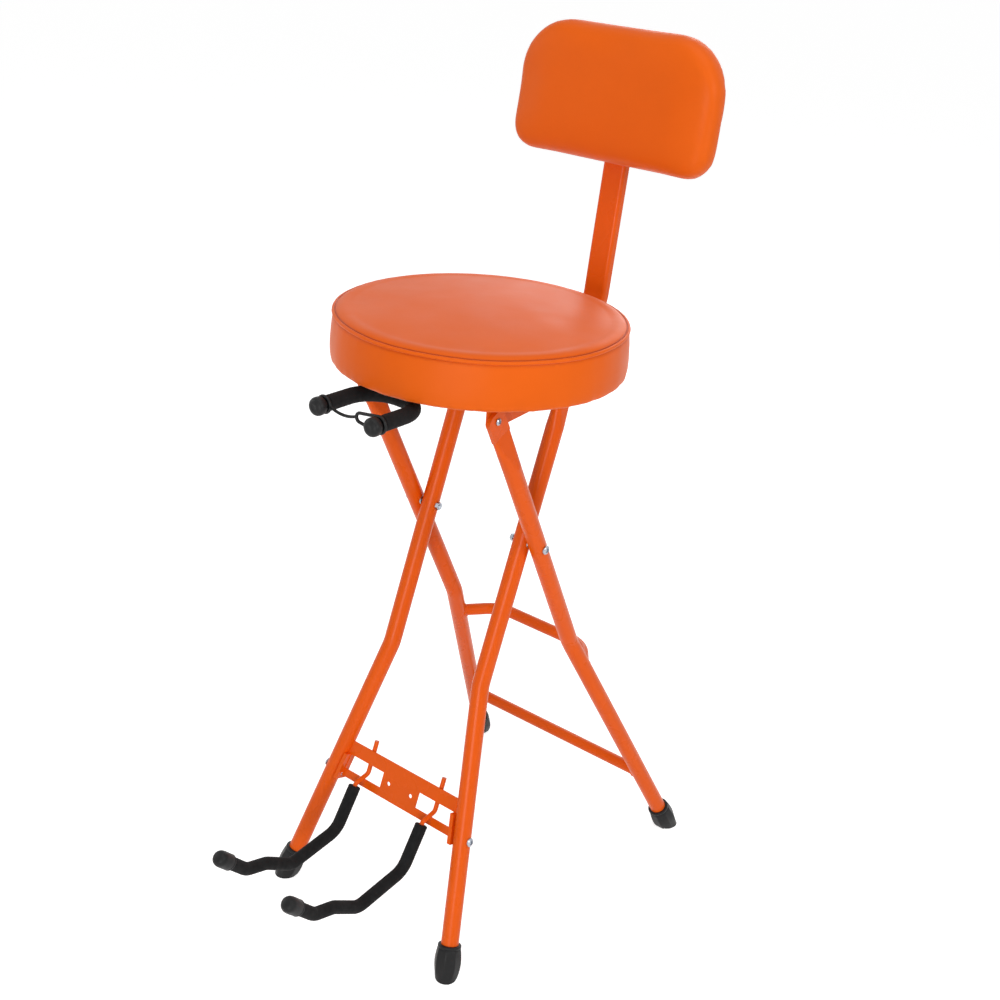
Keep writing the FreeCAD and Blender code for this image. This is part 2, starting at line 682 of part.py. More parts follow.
def leg(frame, leg_x, bend, foot_x, floor, flare, top_hole, pivot_hole):
    # Tube with one outward bend, drilled at the scissor pivot, flattened and drilled at its top.
    body = new_body()
    path = sketch(body, "XZ_Plane")
    outline(path, [
        (leg_x, "tang_round"),
        (leg_x, f"-{bend}", "leg_bend_radius"),
        (f"{foot_x} - foot_sole * sin({flare})", f"foot_sole * cos({flare}) - {floor}"),
    ], closed=False)
    section = sketch(body, "XY_Plane", ("0", "0", "tang_round"))
    circle(section, "leg_tube", leg_x)
    circle(section, "leg_tube - 2 * leg_wall", leg_x)
    pipe(body, path, section)
    wide = "(leg_tube / 2 + tang_lip)"
    flat = "(tang_thick / 2 + tang_lip)"
    broad = "(tang_wide / 2 + tang_lip)"
    round_end = sketch(body, "XY_Plane", ("0", "0", "tang_round - leg_wall"))
    rectangle(round_end, f"{leg_x} - {wide}", f"{leg_x} + {wide}", f"-{wide}", wide, f"{wide} * 0.98")
    flat_end = sketch(body, "XY_Plane", ("0", "0", "tang_low"))
    rectangle(flat_end, f"{leg_x} - {flat}", f"{leg_x} + {flat}", f"-{broad}", broad, f"{flat} * 0.9")
    loft(body, [round_end, flat_end])
    tang = sketch(body, "YZ_Plane", ("0", "0", f"{leg_x} - tang_thick / 2"))
    outline(tang, [
        ("-tang_wide / 2", "tang_low - leg_wall"),
        ("tang_wide / 2", "tang_low - leg_wall"),
        ("tang_wide / 2", "pivot_reach + tang_top", "tang_top"),
        ("-tang_wide / 2", "pivot_reach + tang_top", "tang_top"),
    ])
    circle(tang, top_hole, "0", "pivot_reach")
    pad(body, tang, "tang_thick")
    drill = sketch(body, "YZ_Plane")
    circle(drill, pivot_hole)
    pocket(body, drill, f"{leg_x} + leg_tube", reversed_way=True)
    return frame(body)


def foot(frame, foot_x, floor, flare):
    # Rubber cup round the tube's end, wider at its middle, cut level with the floor.
    body = new_body()
    profile = sketch(body, "XZ_Plane", (foot_x, f"-{floor}", "0"), AXIS_Z, flare)
    bore = "leg_tube / 2 + weld_gap"
    outline(profile, [
        ("0", "-foot_base / 2"),
        ("foot_base / 2", "-foot_base / 2"),
        ("foot_base / 2", "0", "foot_base / 2"),
        ("foot_belly / 2", "foot_belly_height", "foot_belly"),
        ("foot_rim / 2", "foot_height"),
        (bore, "foot_height"),
        (bore, "foot_sole"),
        ("0", "foot_sole"),
    ])
    revolve(body, profile)
    reach = "2 * outer_foot_x"
    ground = box((f"-{reach}", f"-{reach}", "-foot_height"), (reach, f"{reach} + pivot_z", "0"))
    return cut(frame(body), ground)


def leg_stock(foot_x, floor, flare):
    # Solid rod where the outer tubes' lower runs lie, to shape the ends of the cross bars.
    rod = cylinder("leg_tube / 2 + weld_gap", floor, (foot_x, "0", f"-{floor}"), AXIS_Y, f"-{flare}")
    return in_outer(pair(rod))


def outer_frame():
    values = ("outer_leg_x", "outer_bend", "outer_foot_x", "outer_floor", "outer_flare")
    running = "pivot_bolt + 2 * run_fit"
    tight = "pivot_bolt + 2 * weld_gap"
    sided("outer_leg", leg(in_outer, *values, running, tight))
    sided("outer_foot", foot(in_outer, "outer_foot_x", "outer_floor", "outer_flare"))
    stock = leg_stock("outer_foot_x", "outer_floor", "outer_flare")
    bar = along_x("bar_tube / 2", "-crossbar_x", "crossbar_x", z="-crossbar_low")
    hollow = along_x("bar_tube / 2 - bar_wall", "-crossbar_x", "crossbar_x", z="-crossbar_low")
    node("rear_crossbar", cut(in_outer(cut(bar, hollow)), stock))
    node("rear_bow_bar", cut(bow_bar(), stock))
    head_at = "outer_leg_x + leg_tube / 2"
    nut_at = "inner_leg_x - leg_tube / 2 - running_gap - nut_thick"
    head = along_x("bolt_head / 2", head_at, f"{head_at} + bolt_head_thick")
    shank = along_x("pivot_bolt / 2", f"{nut_at} - leg_wall", head_at)
    sided("scissor_bolt", in_outer(fuse(head, shank)))
    node("scissor_nuts", in_outer(pair(nut_along_x(nut_at))))
    start = "inner_leg_x + leg_tube / 2 + running_gap"
    end = "outer_leg_x - leg_tube / 2"
    washer = cut(along_x("washer_size / 2", start, end), along_x("pivot_bolt / 2 + weld_gap", start, end))
    node("scissor_washers", in_outer(pair(washer)))


def bow_bar():
    # Half of the bar from its middle to a leg, mirrored.
    body = new_body()
    path = sketch(body, "XY_Plane")
    outline(path, [
        ("0", "bow_depth"),
        ("bow_corner_x", "bow_depth", "bow_radius"),
        ("bow_x", "0"),
    ], closed=False)
    section = sketch(body, "YZ_Plane")
    circle(section, "bar_tube", "bow_depth")
    circle(section, "bar_tube - 2 * bar_wall", "bow_depth")
    half = pipe(body, path, section)
    doc.recompute()
    whole = body.newObject("PartDesign::Mirrored", "Mirrored")
    whole.Originals = [half]
    whole.MirrorPlane = (origin_plane(body, "YZ_Plane"), [""])
    body.Tip = whole
    return place(body, ("0", "bow_y", "bow_z"))


def inner_frame():
    values = ("inner_leg_x", "inner_bend", "inner_foot_x", "inner_floor", "inner_flare")
    tight = "pivot_bolt + 2 * weld_gap"
    running = "pivot_bolt + 2 * run_fit"
    plain = leg(in_inner, *values, tight, running)
    bore = plate_bolt_rod("pivot_bolt / 2 + weld_gap", "-leg_tube", "leg_tube")
    sided("inner_leg", cut(plain, in_inner(group(bore))))
    sided("inner_foot", foot(in_inner, "inner_foot_x", "inner_floor", "inner_flare"))
    slide_pins()
    cradle_plate()


def slide_pins():
    # Stub pins riveted in the flattened leg tops; they run in the rail slots.
    tang_in = "inner_leg_x - tang_thick / 2"
    tang_out = "inner_leg_x + tang_thick / 2"
    collar_at = "rail_in + rail_sheet + running_gap"
    pin_end = f"{collar_at} + slide_collar_thick"
    rivet = along_x("bolt_head / 2", f"{tang_in} - bolt_head_thick / 2", tang_in, z="pivot_reach")
    spigot = along_x("pivot_bolt / 2", tang_in, tang_out, z="pivot_reach")
    pin = along_x("slide_pin / 2", tang_out, pin_end, z="pivot_reach")
    sided("slide_pin", in_inner(fuse(rivet, spigot, pin)))
    disc = along_x("slide_collar / 2", collar_at, pin_end, z="pivot_reach")
    eye = along_x("slide_pin / 2 + weld_gap", collar_at, pin_end, z="pivot_reach")
    node("slide_collars", in_inner(pair(cut(disc, eye))))


# Guitar cradle


def plate_side(height):
    # Inside face of the leg at a height in the frame's plane.
    return f"(inner_leg_x - ({height} + inner_bend) * tan(inner_flare) - side_play)"


def plate_bolt_rod(radius, start, end):
    # Along the plate bolt, square to the leg, measured from the leg's axis.
    across = f"({start}) * cos(inner_flare)"
    up = f"({start}) * sin(inner_flare)"
    base = (f"bolt_x + {across}", "0", f"{up} - bolt_low")
    return cylinder(radius, f"({end}) - ({start})", base, AXIS_Y, "90 - inner_flare")


def cradle_plate():
    body = new_body()
    face = sketch(body, "XZ_Plane", ("0", "0", "-plate_sheet / 2"))
    low, high = plate_side("plate_bottom"), plate_side("plate_top")
    outline(face, [
        (f"-{low}", "plate_bottom"),
        (low, "plate_bottom"),
        (high, "plate_top"),
        (f"-{high}", "plate_top"),
    ])
    for side in ("", "-"):
        circle(face, "plate_hole", f"{side}plate_hole_x", "(window_top - hook_drop) / 2")
        outline(face, [
            (f"{side}plate_web", "-hook_drop"),
            (f"{side}({plate_side('-hook_drop')} - plate_end)", "-hook_drop"),
            (f"{side}({plate_side('window_top')} - plate_end)", "window_top"),
            (f"{side}plate_web", "window_top"),
        ])
    pad(body, face, "plate_sheet")
    for side in ("", "-"):
        tab = sketch(body, "XZ_Plane", ("0", "0", "-plate_tab / 2"))
        bottom, top = plate_side("tab_low"), plate_side("window_top")
        outline(tab, [
            (f"{side}({bottom} - tab_slant)", "tab_low"),
            (f"{side}{bottom}", "tab_low"),
            (f"{side}{top}", "window_top"),
            (f"{side}({top} - tab_slant)", "window_top"),
        ])
        pad(body, tab, "plate_tab")
    tab_face = "-leg_tube / 2 - weld_gap - plate_tab_sheet"
    bores = pair(plate_bolt_rod("pivot_bolt / 2 + weld_gap", tab_face, "0"))
    node("cradle_plate", in_inner(cut(body, bores)))
    head = plate_bolt_rod("bolt_head / 2", "leg_tube / 2", "leg_tube / 2 + bolt_head_thick")
    shank = plate_bolt_rod("pivot_bolt / 2", f"{tab_face} + soft_gap", "leg_tube / 2")
    node("plate_bolts", in_inner(pair(fuse(head, shank))))


ARM_RUN = [
    ("-knee_out", "-knee_drop", "cradle_bend"),
    ("-low_out", "-low_drop", "cradle_bend"),
    ("-crest_out", "-crest_drop", "cradle_bend"),
    ("-shelf_out", "-shelf_drop", "cradle_bend"),
    ("-tip_out", "-tip_drop"),
]


def in_hook(item):
    return place(item, ("cradle_x", "hook_y", "hook_z"), AXIS_X, "-inner_lean")


def cradle_arm():
    # Rod hooked behind the plate's upper rail, through the window and over the lower rail.
    body = new_body()
    path = sketch(body, "YZ_Plane")
    outline(path, [
        ("rod_behind", "cradle_nub"),
        ("rod_behind", "hook_rise", "cradle_rod"),
        ("-cradle_out", "shoulder", "cradle_rod"),
    ] + ARM_RUN, closed=False)
    section = sketch(body, "XY_Plane", ("0", "rod_behind", "cradle_nub"))
    circle(section, "cradle_rod")
    pipe(body, path, section)
    sided("cradle_rod", in_hook(body))
    sleeve = new_body()
    start_y = "-cradle_out - sleeve_start * sin(knee_turn)"
    start_z = "shoulder - sleeve_start * cos(knee_turn)"
    path = sketch(sleeve, "YZ_Plane")
    outline(path, [(start_y, start_z)] + ARM_RUN, closed=False)
    section = sketch(sleeve, "XY_Plane", ("0", start_y, start_z), AXIS_X, "-knee_turn")
    circle(section, "cradle_sleeve")
    circle(section, "cradle_rod + 2 * soft_gap")
    pipe(sleeve, path, section)
    sided("cradle_sleeve", in_hook(sleeve))
    sided("cradle_tip", cradle_tip())


def cradle_tip():
    # Domed rubber cap pushed over the sleeve's end.
    body = new_body()
    bore = "cradle_sleeve / 2 + soft_gap"
    profile = sketch(body, "XZ_Plane")
    outline(profile, [
        ("0", "soft_gap"),
        (bore, "soft_gap"),
        (bore, "-tip_grip"),
        ("tip_cap / 2", "-tip_grip", "tip_cap / 16"),
        ("tip_cap / 2", "tip_cap / 2", "tip_cap * 0.4"),
        ("0", "tip_cap / 2"),
    ])
    revolve(body, profile)
    across = "(-tip_out) * cos(inner_lean) + (-tip_drop) * sin(inner_lean)"
    up = "(-tip_drop) * cos(inner_lean) + tip_out * sin(inner_lean)"
    return place(body, ("cradle_x", f"hook_y + {across}", f"hook_z + {up}"), AXIS_X, "tip_turn - inner_lean")


# Neck yoke


def yoke_path(body, start):
    path = sketch(body, "XY_Plane")
    outline(path, [
        ("yoke_half", f"-{start}"),
        ("yoke_half", "-yoke_back", "yoke_bend"),
        ("-yoke_half", "-yoke_back", "yoke_bend"),
        ("-yoke_half", f"-{start}"),
    ], closed=False)
    return path


def in_yoke(item):
    return place(item, ("0", "seat_y", "board_z - yoke_drop"))


def yoke():
    rod = new_body()
    path = yoke_path(rod, "yoke_tip")
    section = sketch(rod, "XZ_Plane", ("0", "0", "yoke_tip"))
    circle(section, "yoke_rod", "yoke_half")
    pipe(rod, path, section)
    node("yoke_rod", in_yoke(rod))
    sleeve = new_body()
    path = yoke_path(sleeve, "sleeve_front")
    section = sketch(sleeve, "XZ_Plane", ("0", "0", "sleeve_front"))
    circle(section, "yoke_sleeve", "yoke_half")
    circle(section, "yoke_rod + 2 * soft_gap", "yoke_half")
    pipe(sleeve, path, section)
    hole = cylinder("slide_bar / 2 + soft_gap", "yoke_sleeve", ("0", "-yoke_back", "0"), AXIS_X, "-90")
    node("yoke_sleeve", in_yoke(cut(sleeve, hole)))
    bar = cylinder("slide_bar / 2", "slide_bar_length", ("0", "-yoke_back", "0"), AXIS_X, "-90")
    seat_of_rod = along_x("yoke_rod / 2 + weld_gap", "-slide_bar", "slide_bar", y="-yoke_back")
    node("yoke_slide_bar", in_yoke(cut(bar, seat_of_rod)))
    sided("yoke_knob", yoke_knob())
    neck_strap()


def yoke_knob():
    # Mushroom-shaped end with a neck for the strap, bored for the rod.
    body = new_body()
    profile = sketch(body, "XY_Plane")
    bore = "yoke_rod / 2 + weld_gap"
    back = "yoke_knob_deep / 2"
    outline(profile, [
        ("0", f"-{back}"),
        ("yoke_knob * 0.42", f"-{back}", "yoke_knob_deep * 0.3"),
        ("yoke_knob / 2", "0", "yoke_knob_deep * 0.4"),
        ("yoke_neck / 2", back, "yoke_knob_deep / 12"),
        ("yoke_neck / 2", f"{back} + yoke_neck_length"),
        (bore, f"{back} + yoke_neck_length"),
        (bore, "-weld_gap"),
        ("0", "-weld_gap"),
    ])
    revolve(body, profile)
    return place(body, ("yoke_half", "seat_y - yoke_tip", "board_z - yoke_drop"))


def neck_strap():
    # Rubber band across the yoke's mouth: a ring on one neck, a long loop hooked over the other.
    eye = doc.addObject("Part::Torus", "Torus")
    bind(eye, "Radius1", "strap_ring")
    bind(eye, "Radius2", "strap_eye / 2")
    place(eye, ("-yoke_half", "-strap_y", "0"), AXIS_X, "90")
    loop = new_body()
    path = sketch(loop, "XZ_Plane", ("0", "0", "strap_y"))
    straight_slot(path, ("yoke_half - strap_loop", "0"), ("yoke_half", "0"), "2 * strap_ring")
    section = sketch(loop, "YZ_Plane", ("0", "0", "yoke_half - strap_loop"))
    circle(section, "strap_eye", "-strap_y", "-strap_ring")
    pipe(loop, path, section)
    band = new_body()
    path = sketch(band, "XZ_Plane", ("0", "0", "strap_y"))
    start = "-yoke_half + strap_ring"
    end = "yoke_half - strap_loop - strap_ring"
    outline(path, [
        (start, "0"),
        (f"{start} + strap_sag * 2", "-strap_sag", "strap_sag"),
        (f"{end} - strap_sag * 2", "-strap_sag", "strap_sag"),
        (end, "0"),
    ], closed=False)
    section = sketch(band, "YZ_Plane", ("0", "0", start), AXIS_X, "atan(0.5)")
    circle(section, "strap_band", "-strap_y")
    pipe(band, path, section)
    node("neck_strap", in_yoke(fuse(eye, loop, band)))


def yoke_guide():
    half = "guide_width / 2"
    wing = f"{half} + flange_reach"
    back = "guide_length - guide_front"
    block = box((f"-{half}", "-guide_front", "-yoke_drop - slide_bar / 2 - guide_floor"), (half, back, "0"))
    flange = box((f"-({wing})", "-guide_front", "-flange_thick"), (wing, back, "0"))
    bore = cylinder("slide_bar / 2 + run_fit", "guide_length", ("0", "-guide_front", "-yoke_drop"), AXIS_X, "-90")
    tap = cylinder("clamp_screw / 2 + run_fit", "yoke_drop + guide_floor", (
        "0", "guide_middle", "-2 * yoke_drop - guide_floor"))
    rail, guide, socket = screw_spots()
    bores = [screw_bore(x, y, "2 * flange_thick") for x, y, sheet in guide]
    node("yoke_guide", in_seat(cut(fuse(block, flange), bore, tap, *bores)))
    screw = clamp_screw("yoke_drop + slide_bar / 2 + running_gap", "guide_floor - running_gap + clamp_stand")
    node("yoke_thumb_screw", place(screw, ("0", "seat_y + guide_middle", "board_z")))


def clamp_screw(tip_drop, length):
    # Screw with a lobed head below what it clamps, its tip just clear of the sliding piece.
    body = new_body()
    head = sketch(body, "XY_Plane", ("0", "0", f"-({tip_drop}) - ({length}) - clamp_head_thick"))
    circle(head, "clamp_head")
    pad(body, head, "clamp_head_thick")
    shank = sketch(body, "XY_Plane", ("0", "0", f"-({tip_drop}) - ({length})"))
    circle(shank, "clamp_screw")
    pad(body, shank, length)
    notch = sketch(body, "XY_Plane", ("0", "0", f"-({tip_drop}) - ({length})"))
    circle(notch, "clamp_head * 0.3", "clamp_head * 0.55")
    scoop = pocket(body, notch, "clamp_head_thick")
    lobes = body.newObject("PartDesign::PolarPattern", "Lobes")
    lobes.Originals = [scoop]
    lobes.Axis = (notch, ["N_Axis"])
    lobes.Occurrences = 6
    lobes.Angle = 360
    body.Tip = lobes
    return body


# Backrest


def backrest_socket():
    back = "socket_front + socket_length"
    wing = "socket_x + flange_reach"
    shell = box(("-socket_x", "socket_front", "-socket_low"), ("socket_x", back, "0"))
    flange = box((f"-({wing})", "socket_front", "-flange_thick"), (wing, back, "0"))
    inside = "post_width / 2 + running_gap"
    high = "post_thick / 2 + running_gap"
    cavity = box((f"-({inside})", "socket_front", f"-post_drop - ({high})"), (inside, back, f"-post_drop + {high}"))
    boss = cylinder("clamp_screw", "clamp_screw", ("0", "socket_middle", "-socket_low - clamp_screw"))
    tap = cylinder("clamp_screw / 2 + run_fit", "socket_wall + 2 * clamp_screw", (
        "0", "socket_middle", "-socket_low - 2 * clamp_screw"))
    rail, guide, socket = screw_spots()
    bores = [screw_bore(x, y, "2 * flange_thick") for x, y, sheet in socket]
    node("backrest_socket", in_seat(cut(fuse(shell, flange, boss), cavity, tap, *bores)))
    screw = clamp_screw("post_drop + post_thick / 2 + running_gap", "socket_wall + clamp_screw + clamp_stand")
    node("backrest_knob", place(screw, ("0", "seat_y + socket_middle", "board_z")))


BACK_SCREWS = ["pad_lift + back_screw_low", "pad_lift + back_screw_low + back_screw_pitch"]


def along_back(radius, start, end, height):
    # Along the back screws, measured forwards from the middle of the post.
    return cylinder(radius, f"({end}) - ({start})", ("0", f"-({start})", height), AXIS_X, "90")


def backrest():
    body = new_body()
    path = sketch(body, "YZ_Plane")
    outline(path, [
        ("-post_run", "0"),
        ("0", "0", "post_bend"),
        ("post_length * sin(post_lean)", "post_length * cos(post_lean)"),
    ], closed=False)
    section = sketch(body, "XZ_Plane", ("0", "0", "post_run"))
    half, deep = "post_width / 2", "post_thick / 2"
    rectangle(section, f"-{half}", half, f"-{deep}", deep, "post_corner")
    half, deep = f"({half} - post_wall)", f"({deep} - post_wall)"
    rectangle(section, f"-{half}", half, f"-{deep}", deep, "post_corner - post_wall / 2")
    pipe(body, path, section)
    place(body, ("0", "seat_y + post_back", "board_z - post_drop"))
    bore = "wood_screw / 2 + weld_gap"
    holes = group(*[along_back(bore, "-post_thick", "post_thick", z) for z in BACK_SCREWS])
    node("backrest_post", cut(body, in_back(holes)))
    screws = []
    for z in BACK_SCREWS:
        head = along_back("wood_screw_head / 2", "-back_face - wood_screw_head_thick", "-back_face", z)
        shank = along_back("wood_screw / 2", "-back_face", "back_face + back_board_thick - running_gap", z)
        screws.append(fuse(head, shank))
    node("backrest_screws", in_back(group(*screws)))
    board = new_body()
    face = sketch(board, "XZ_Plane", ("0", "0", "back_face"))
    pad_outline(face, "back_board_inset")
    for z in BACK_SCREWS:
        circle(face, f"2 * ({bore})", "0", z)
    pad(board, face, "back_board_thick")
    node("backrest_board", in_back(board))
    backrest_pad()


def pad_outline(item, inset):
    half = f"(pad_width / 2 - ({inset}))"
    low = f"pad_lift + {inset}"
    high = f"pad_lift + pad_height - ({inset})"
    upper = f"pad_top_radius - ({inset})"
    lower = f"pad_bottom_radius - ({inset})"
    outline(item, [
        (f"-{half}", low, lower),
        (half, low, lower),
        (half, high, upper),
        (f"-{half}", high, upper),
    ])


def backrest_pad():
    # Pillowed slab: outlines at depths from the back, drawn in towards both faces.
    body = new_body()
    layers = [("0", "pad_thick * 0.14"), ("pad_thick * 0.22", "pad_thick * 0.02"),
              ("pad_thick * 0.5", "0"), ("pad_thick * 0.8", "pad_thick * 0.09"),
              ("pad_thick", "pad_thick * 0.4")]
    sections = []
    for depth, inset in layers:
        layer = sketch(body, "XZ_Plane", ("0", "0", f"back_face + {depth}"))
        pad_outline(layer, inset)
        sections.append(layer)
    loft(body, sections)
    recess = sketch(body, "XZ_Plane", ("0", "0", "back_face"))
    pad_outline(recess, "back_board_inset - soft_gap")
    pocket(body, recess, "back_board_thick + soft_gap", reversed_way=True)
    node("backrest_pad", in_back(body))


seat()
seat_rail()
front_pivot()
outer_frame()
inner_frame()
cradle_arm()
yoke()
yoke_guide()
backrest_socket()
backrest()
doc.recompute()

for item in doc.Objects:
    if "Invalid" in item.State or "Error" in item.State:
        raise RuntimeError(f"{item.Name} ({item.Label}) failed: {item.State}")
for label, item in nodes.items():
    if item.Shape.isNull() or not item.Shape.isValid() or not item.Shape.Solids:
        raise RuntimeError(f"{label} has no sound shape")
os.makedirs("parts", exist_ok=True)
for label, item in nodes.items():
    item.Shape.exportStep(f"parts/{label}.step")
whole = Part.makeCompound([item.Shape for item in nodes.values()]).BoundBox
print(len(nodes), "nodes, box", whole)
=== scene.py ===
import json
import math
import bmesh
import bpy
import numpy as np
from mathutils import Matrix, Vector

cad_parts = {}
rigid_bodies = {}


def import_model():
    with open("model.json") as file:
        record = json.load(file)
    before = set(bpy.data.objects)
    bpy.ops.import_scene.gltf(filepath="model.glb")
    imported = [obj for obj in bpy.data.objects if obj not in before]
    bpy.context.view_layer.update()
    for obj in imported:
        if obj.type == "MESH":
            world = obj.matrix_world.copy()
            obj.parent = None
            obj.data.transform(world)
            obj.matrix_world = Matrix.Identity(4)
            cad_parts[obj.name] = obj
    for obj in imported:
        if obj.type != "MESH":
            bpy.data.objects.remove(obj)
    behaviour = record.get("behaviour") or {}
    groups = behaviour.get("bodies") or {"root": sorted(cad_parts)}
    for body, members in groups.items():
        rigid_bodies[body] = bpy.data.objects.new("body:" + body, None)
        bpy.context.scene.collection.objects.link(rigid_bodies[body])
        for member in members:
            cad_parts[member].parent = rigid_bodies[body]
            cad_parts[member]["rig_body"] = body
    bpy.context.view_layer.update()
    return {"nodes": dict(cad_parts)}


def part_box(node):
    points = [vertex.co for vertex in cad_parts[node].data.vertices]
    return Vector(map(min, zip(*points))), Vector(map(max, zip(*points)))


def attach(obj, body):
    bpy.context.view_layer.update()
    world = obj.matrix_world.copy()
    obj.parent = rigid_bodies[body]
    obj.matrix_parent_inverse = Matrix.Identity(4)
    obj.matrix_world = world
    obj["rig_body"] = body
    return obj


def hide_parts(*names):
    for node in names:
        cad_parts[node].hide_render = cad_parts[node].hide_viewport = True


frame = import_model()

# Folding stool with a neck yoke and cradle arms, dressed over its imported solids.
# Shapes are worked out in millimetres in the solids' own frame and scaled to metres in the mesh.
mm = 0.001
bothSides = (("left", 1), ("right", -1))
scene = bpy.context.scene
print("stool: frame loaded,", len(frame["nodes"]), "solids")


# Shape tools.

def unit(v):
    # Each vector divided by its own length.
    return v / np.linalg.norm(v, axis=-1, keepdims=True)


def around(count):
    # Angles spaced evenly round one turn.
    return np.linspace(0, 2 * np.pi, count, endpoint=False)


def ramp(value, start, end):
    # 0 up to start, 1 from end on, and straight between them.
    return np.clip((value - start) / (end - start), 0, 1)


def unevenWave(a, count, swing, slowCount, start=0):
    # So many waves round the turn, their pitch swinging with a slower wave.
    return np.sin(count * a + swing * np.sin(slowCount * a + start))


def distances(route):
    # Distance along a route at each of its points.
    return np.concatenate([[0.0], np.cumsum(np.linalg.norm(np.diff(route, axis=0), axis=1))])


def along(rows, run, at):
    # Rows of three read off at these distances, straight between the given ones.
    return np.stack([np.interp(at, run, rows[:, k]) for k in range(3)], axis=1)


def evenRoute(points, step):
    # The same line with points at even distances of about one step.
    points = np.array(points, float)
    run = distances(points)
    at = np.linspace(0.0, run[-1], max(2, int(run[-1] / step) + 1))
    return along(points, run, at)


def bentRoute(corners, radius, step=1.0, arcPoints=24):
    # Straight runs joined by arcs of one radius that touch both runs.
    corners = np.array(corners, float)
    line = [corners[:1]]
    for before, corner, after in zip(corners, corners[1:], corners[2:]):
        arrive, leave = unit(corner - before), unit(after - corner)
        turn = math.acos(float(np.clip(arrive @ leave, -1, 1)))
        start = corner - arrive * radius * math.tan(turn / 2)
        inward = unit(leave - arrive * math.cos(turn))
        a = np.linspace(0, turn, arcPoints)[:, None]
        line.append(start + radius * (np.sin(a) * arrive + (1 - np.cos(a)) * inward))
    line.append(corners[-1:])
    return evenRoute(np.concatenate(line), step)


def carry(route, stations, sides, beside, shape=1.0):
    # Rings along a route: p = place(s) + r(s) * shape * (cos a * across + sin a * up),
    # where across and up stand square to the route, and beside fixes their turn.
    at, radius = np.array(stations, float).T
    run = distances(route)
    place = along(route, run, at)
    ahead = unit(along(np.gradient(route, run, axis=0), run, at))
    across = unit(np.cross(np.array(beside, float), ahead))
    up = np.cross(ahead, across)
    a = around(sides)[None, :, None]
    ring = np.cos(a) * across[:, None, :] + np.sin(a) * up[:, None, :]
    reach = radius[:, None] * np.broadcast_to(shape, (len(at), sides))
    return place[:, None, :] + reach[..., None] * ring


def loopTube(loop, radius, sides):
    # Tube round a closed flat loop: rings stand square to the loop, outward is away from its middle.
    ahead = unit(np.roll(loop, -1, axis=0) - np.roll(loop, 1, axis=0))
    outward = loop - loop.mean(axis=0)
    outward = unit(outward - (outward * ahead).sum(axis=1, keepdims=True) * ahead)
    side = np.cross(ahead, outward)
    a = around(sides)[None, :, None]
    thick = np.broadcast_to(radius, (len(loop),))[:, None, None]
    return loop[:, None, :] + thick * (np.cos(a) * outward[:, None, :] + np.sin(a) * side[:, None, :])


def tubeStations(length, radius, edge, step, rimRows=6):
    # Distance and radius down a tube: flat ends, rims rounded by edge, even rings between.
    a = np.linspace(0, np.pi / 2, rimRows)
    rim = np.stack([edge * (1 - np.cos(a)), radius - edge + edge * np.sin(a)], axis=1)
    middle = np.arange(edge + step, length - edge - step / 2, step)
    body = np.stack([middle, np.full_like(middle, radius)], axis=1)
    far = rim[::-1] * [-1, 1] + [length, 0]
    return np.concatenate([[[0, 0]], rim, body, far, [[length, 0]]])


def roundedRect(halfX, low, high, lowRadius, highRadius, count=14):
    # Outline of a rectangle with arcs at its corners, anticlockwise from the right, as (x, z) pairs.
    a = np.linspace(0, np.pi / 2, count)
    spots = [
        (halfX - lowRadius, low + lowRadius, lowRadius, -np.pi / 2),
        (halfX - highRadius, high - highRadius, highRadius, 0),
        (-halfX + highRadius, high - highRadius, highRadius, np.pi / 2),
        (-halfX + lowRadius, low + lowRadius, lowRadius, np.pi),
    ]
    arcs = [np.stack([x + r * np.cos(a + t), z + r * np.sin(a + t)], axis=1) for x, z, r, t in spots]
    return np.concatenate(arcs)


def gridFaces(rows, cols, wrapRows, wrapCols):
    # Quad (i, j) joins the grid's neighbours, round the end where the grid wraps.
    rowSpan, colSpan = np.arange(rows - (not wrapRows)), np.arange(cols - (not wrapCols))
    i, j = np.meshgrid(rowSpan, colSpan, indexing="ij")
    below, beside = (i + 1) % rows, (j + 1) % cols
    quads = [i * cols + j, i * cols + beside, below * cols + beside, below * cols + j]
    return np.stack(quads, axis=-1).reshape(-1, 4)


# Points of one mesh nearer than this, in metres, are one point.
mergeReach = 2e-6


def makeMesh(name, sheets, creaseAngle):
    # sheets: (points[rows, cols, 3] in mm, wrapRows, wrapCols), joined in one closed mesh.
    points, faces, start = [], [], 0
    for grid, wrapRows, wrapCols in sheets:
        rows, cols = grid.shape[:2]
        points.append(grid.reshape(-1, 3))
        faces.append(gridFaces(rows, cols, wrapRows, wrapCols) + start)
        start += rows * cols
    mesh = bpy.data.meshes.new(name)
    mesh.from_pydata((np.concatenate(points) * mm).tolist(), [], np.concatenate(faces).tolist())
    shell = bmesh.new()
    shell.from_mesh(mesh)
    bmesh.ops.remove_doubles(shell, verts=shell.verts, dist=mergeReach)
    bmesh.ops.recalc_face_normals(shell, faces=shell.faces)
    shell.to_mesh(mesh)
    shell.free()
    mesh.polygons.foreach_set("use_smooth", np.ones(len(mesh.polygons), bool))
    mesh.set_sharp_from_angle(angle=math.radians(creaseAngle))
    mesh.update()
    return mesh


def addPiece(name, mesh, look, body, nodes=()):
    piece = bpy.data.objects.new(name, mesh)
    scene.collection.objects.link(piece)
    mesh.materials.clear()
    mesh.materials.append(look)
    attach(piece, body)
    if nodes:
        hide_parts(*nodes)
    return piece


def build(name, sheets, look, body, nodes=(), creaseAngle=38):
    return addPiece(name, makeMesh(name, sheets, creaseAngle), look, body, nodes)


def getPoints(mesh):
    flat = np.empty(len(mesh.vertices) * 3, np.float64)
    mesh.vertices.foreach_get("co", flat)
    return flat.reshape(-1, 3) / mm


def setPoints(mesh, points):
    mesh.vertices.foreach_set("co", (points * mm).astype(np.float32).ravel())
    mesh.update()


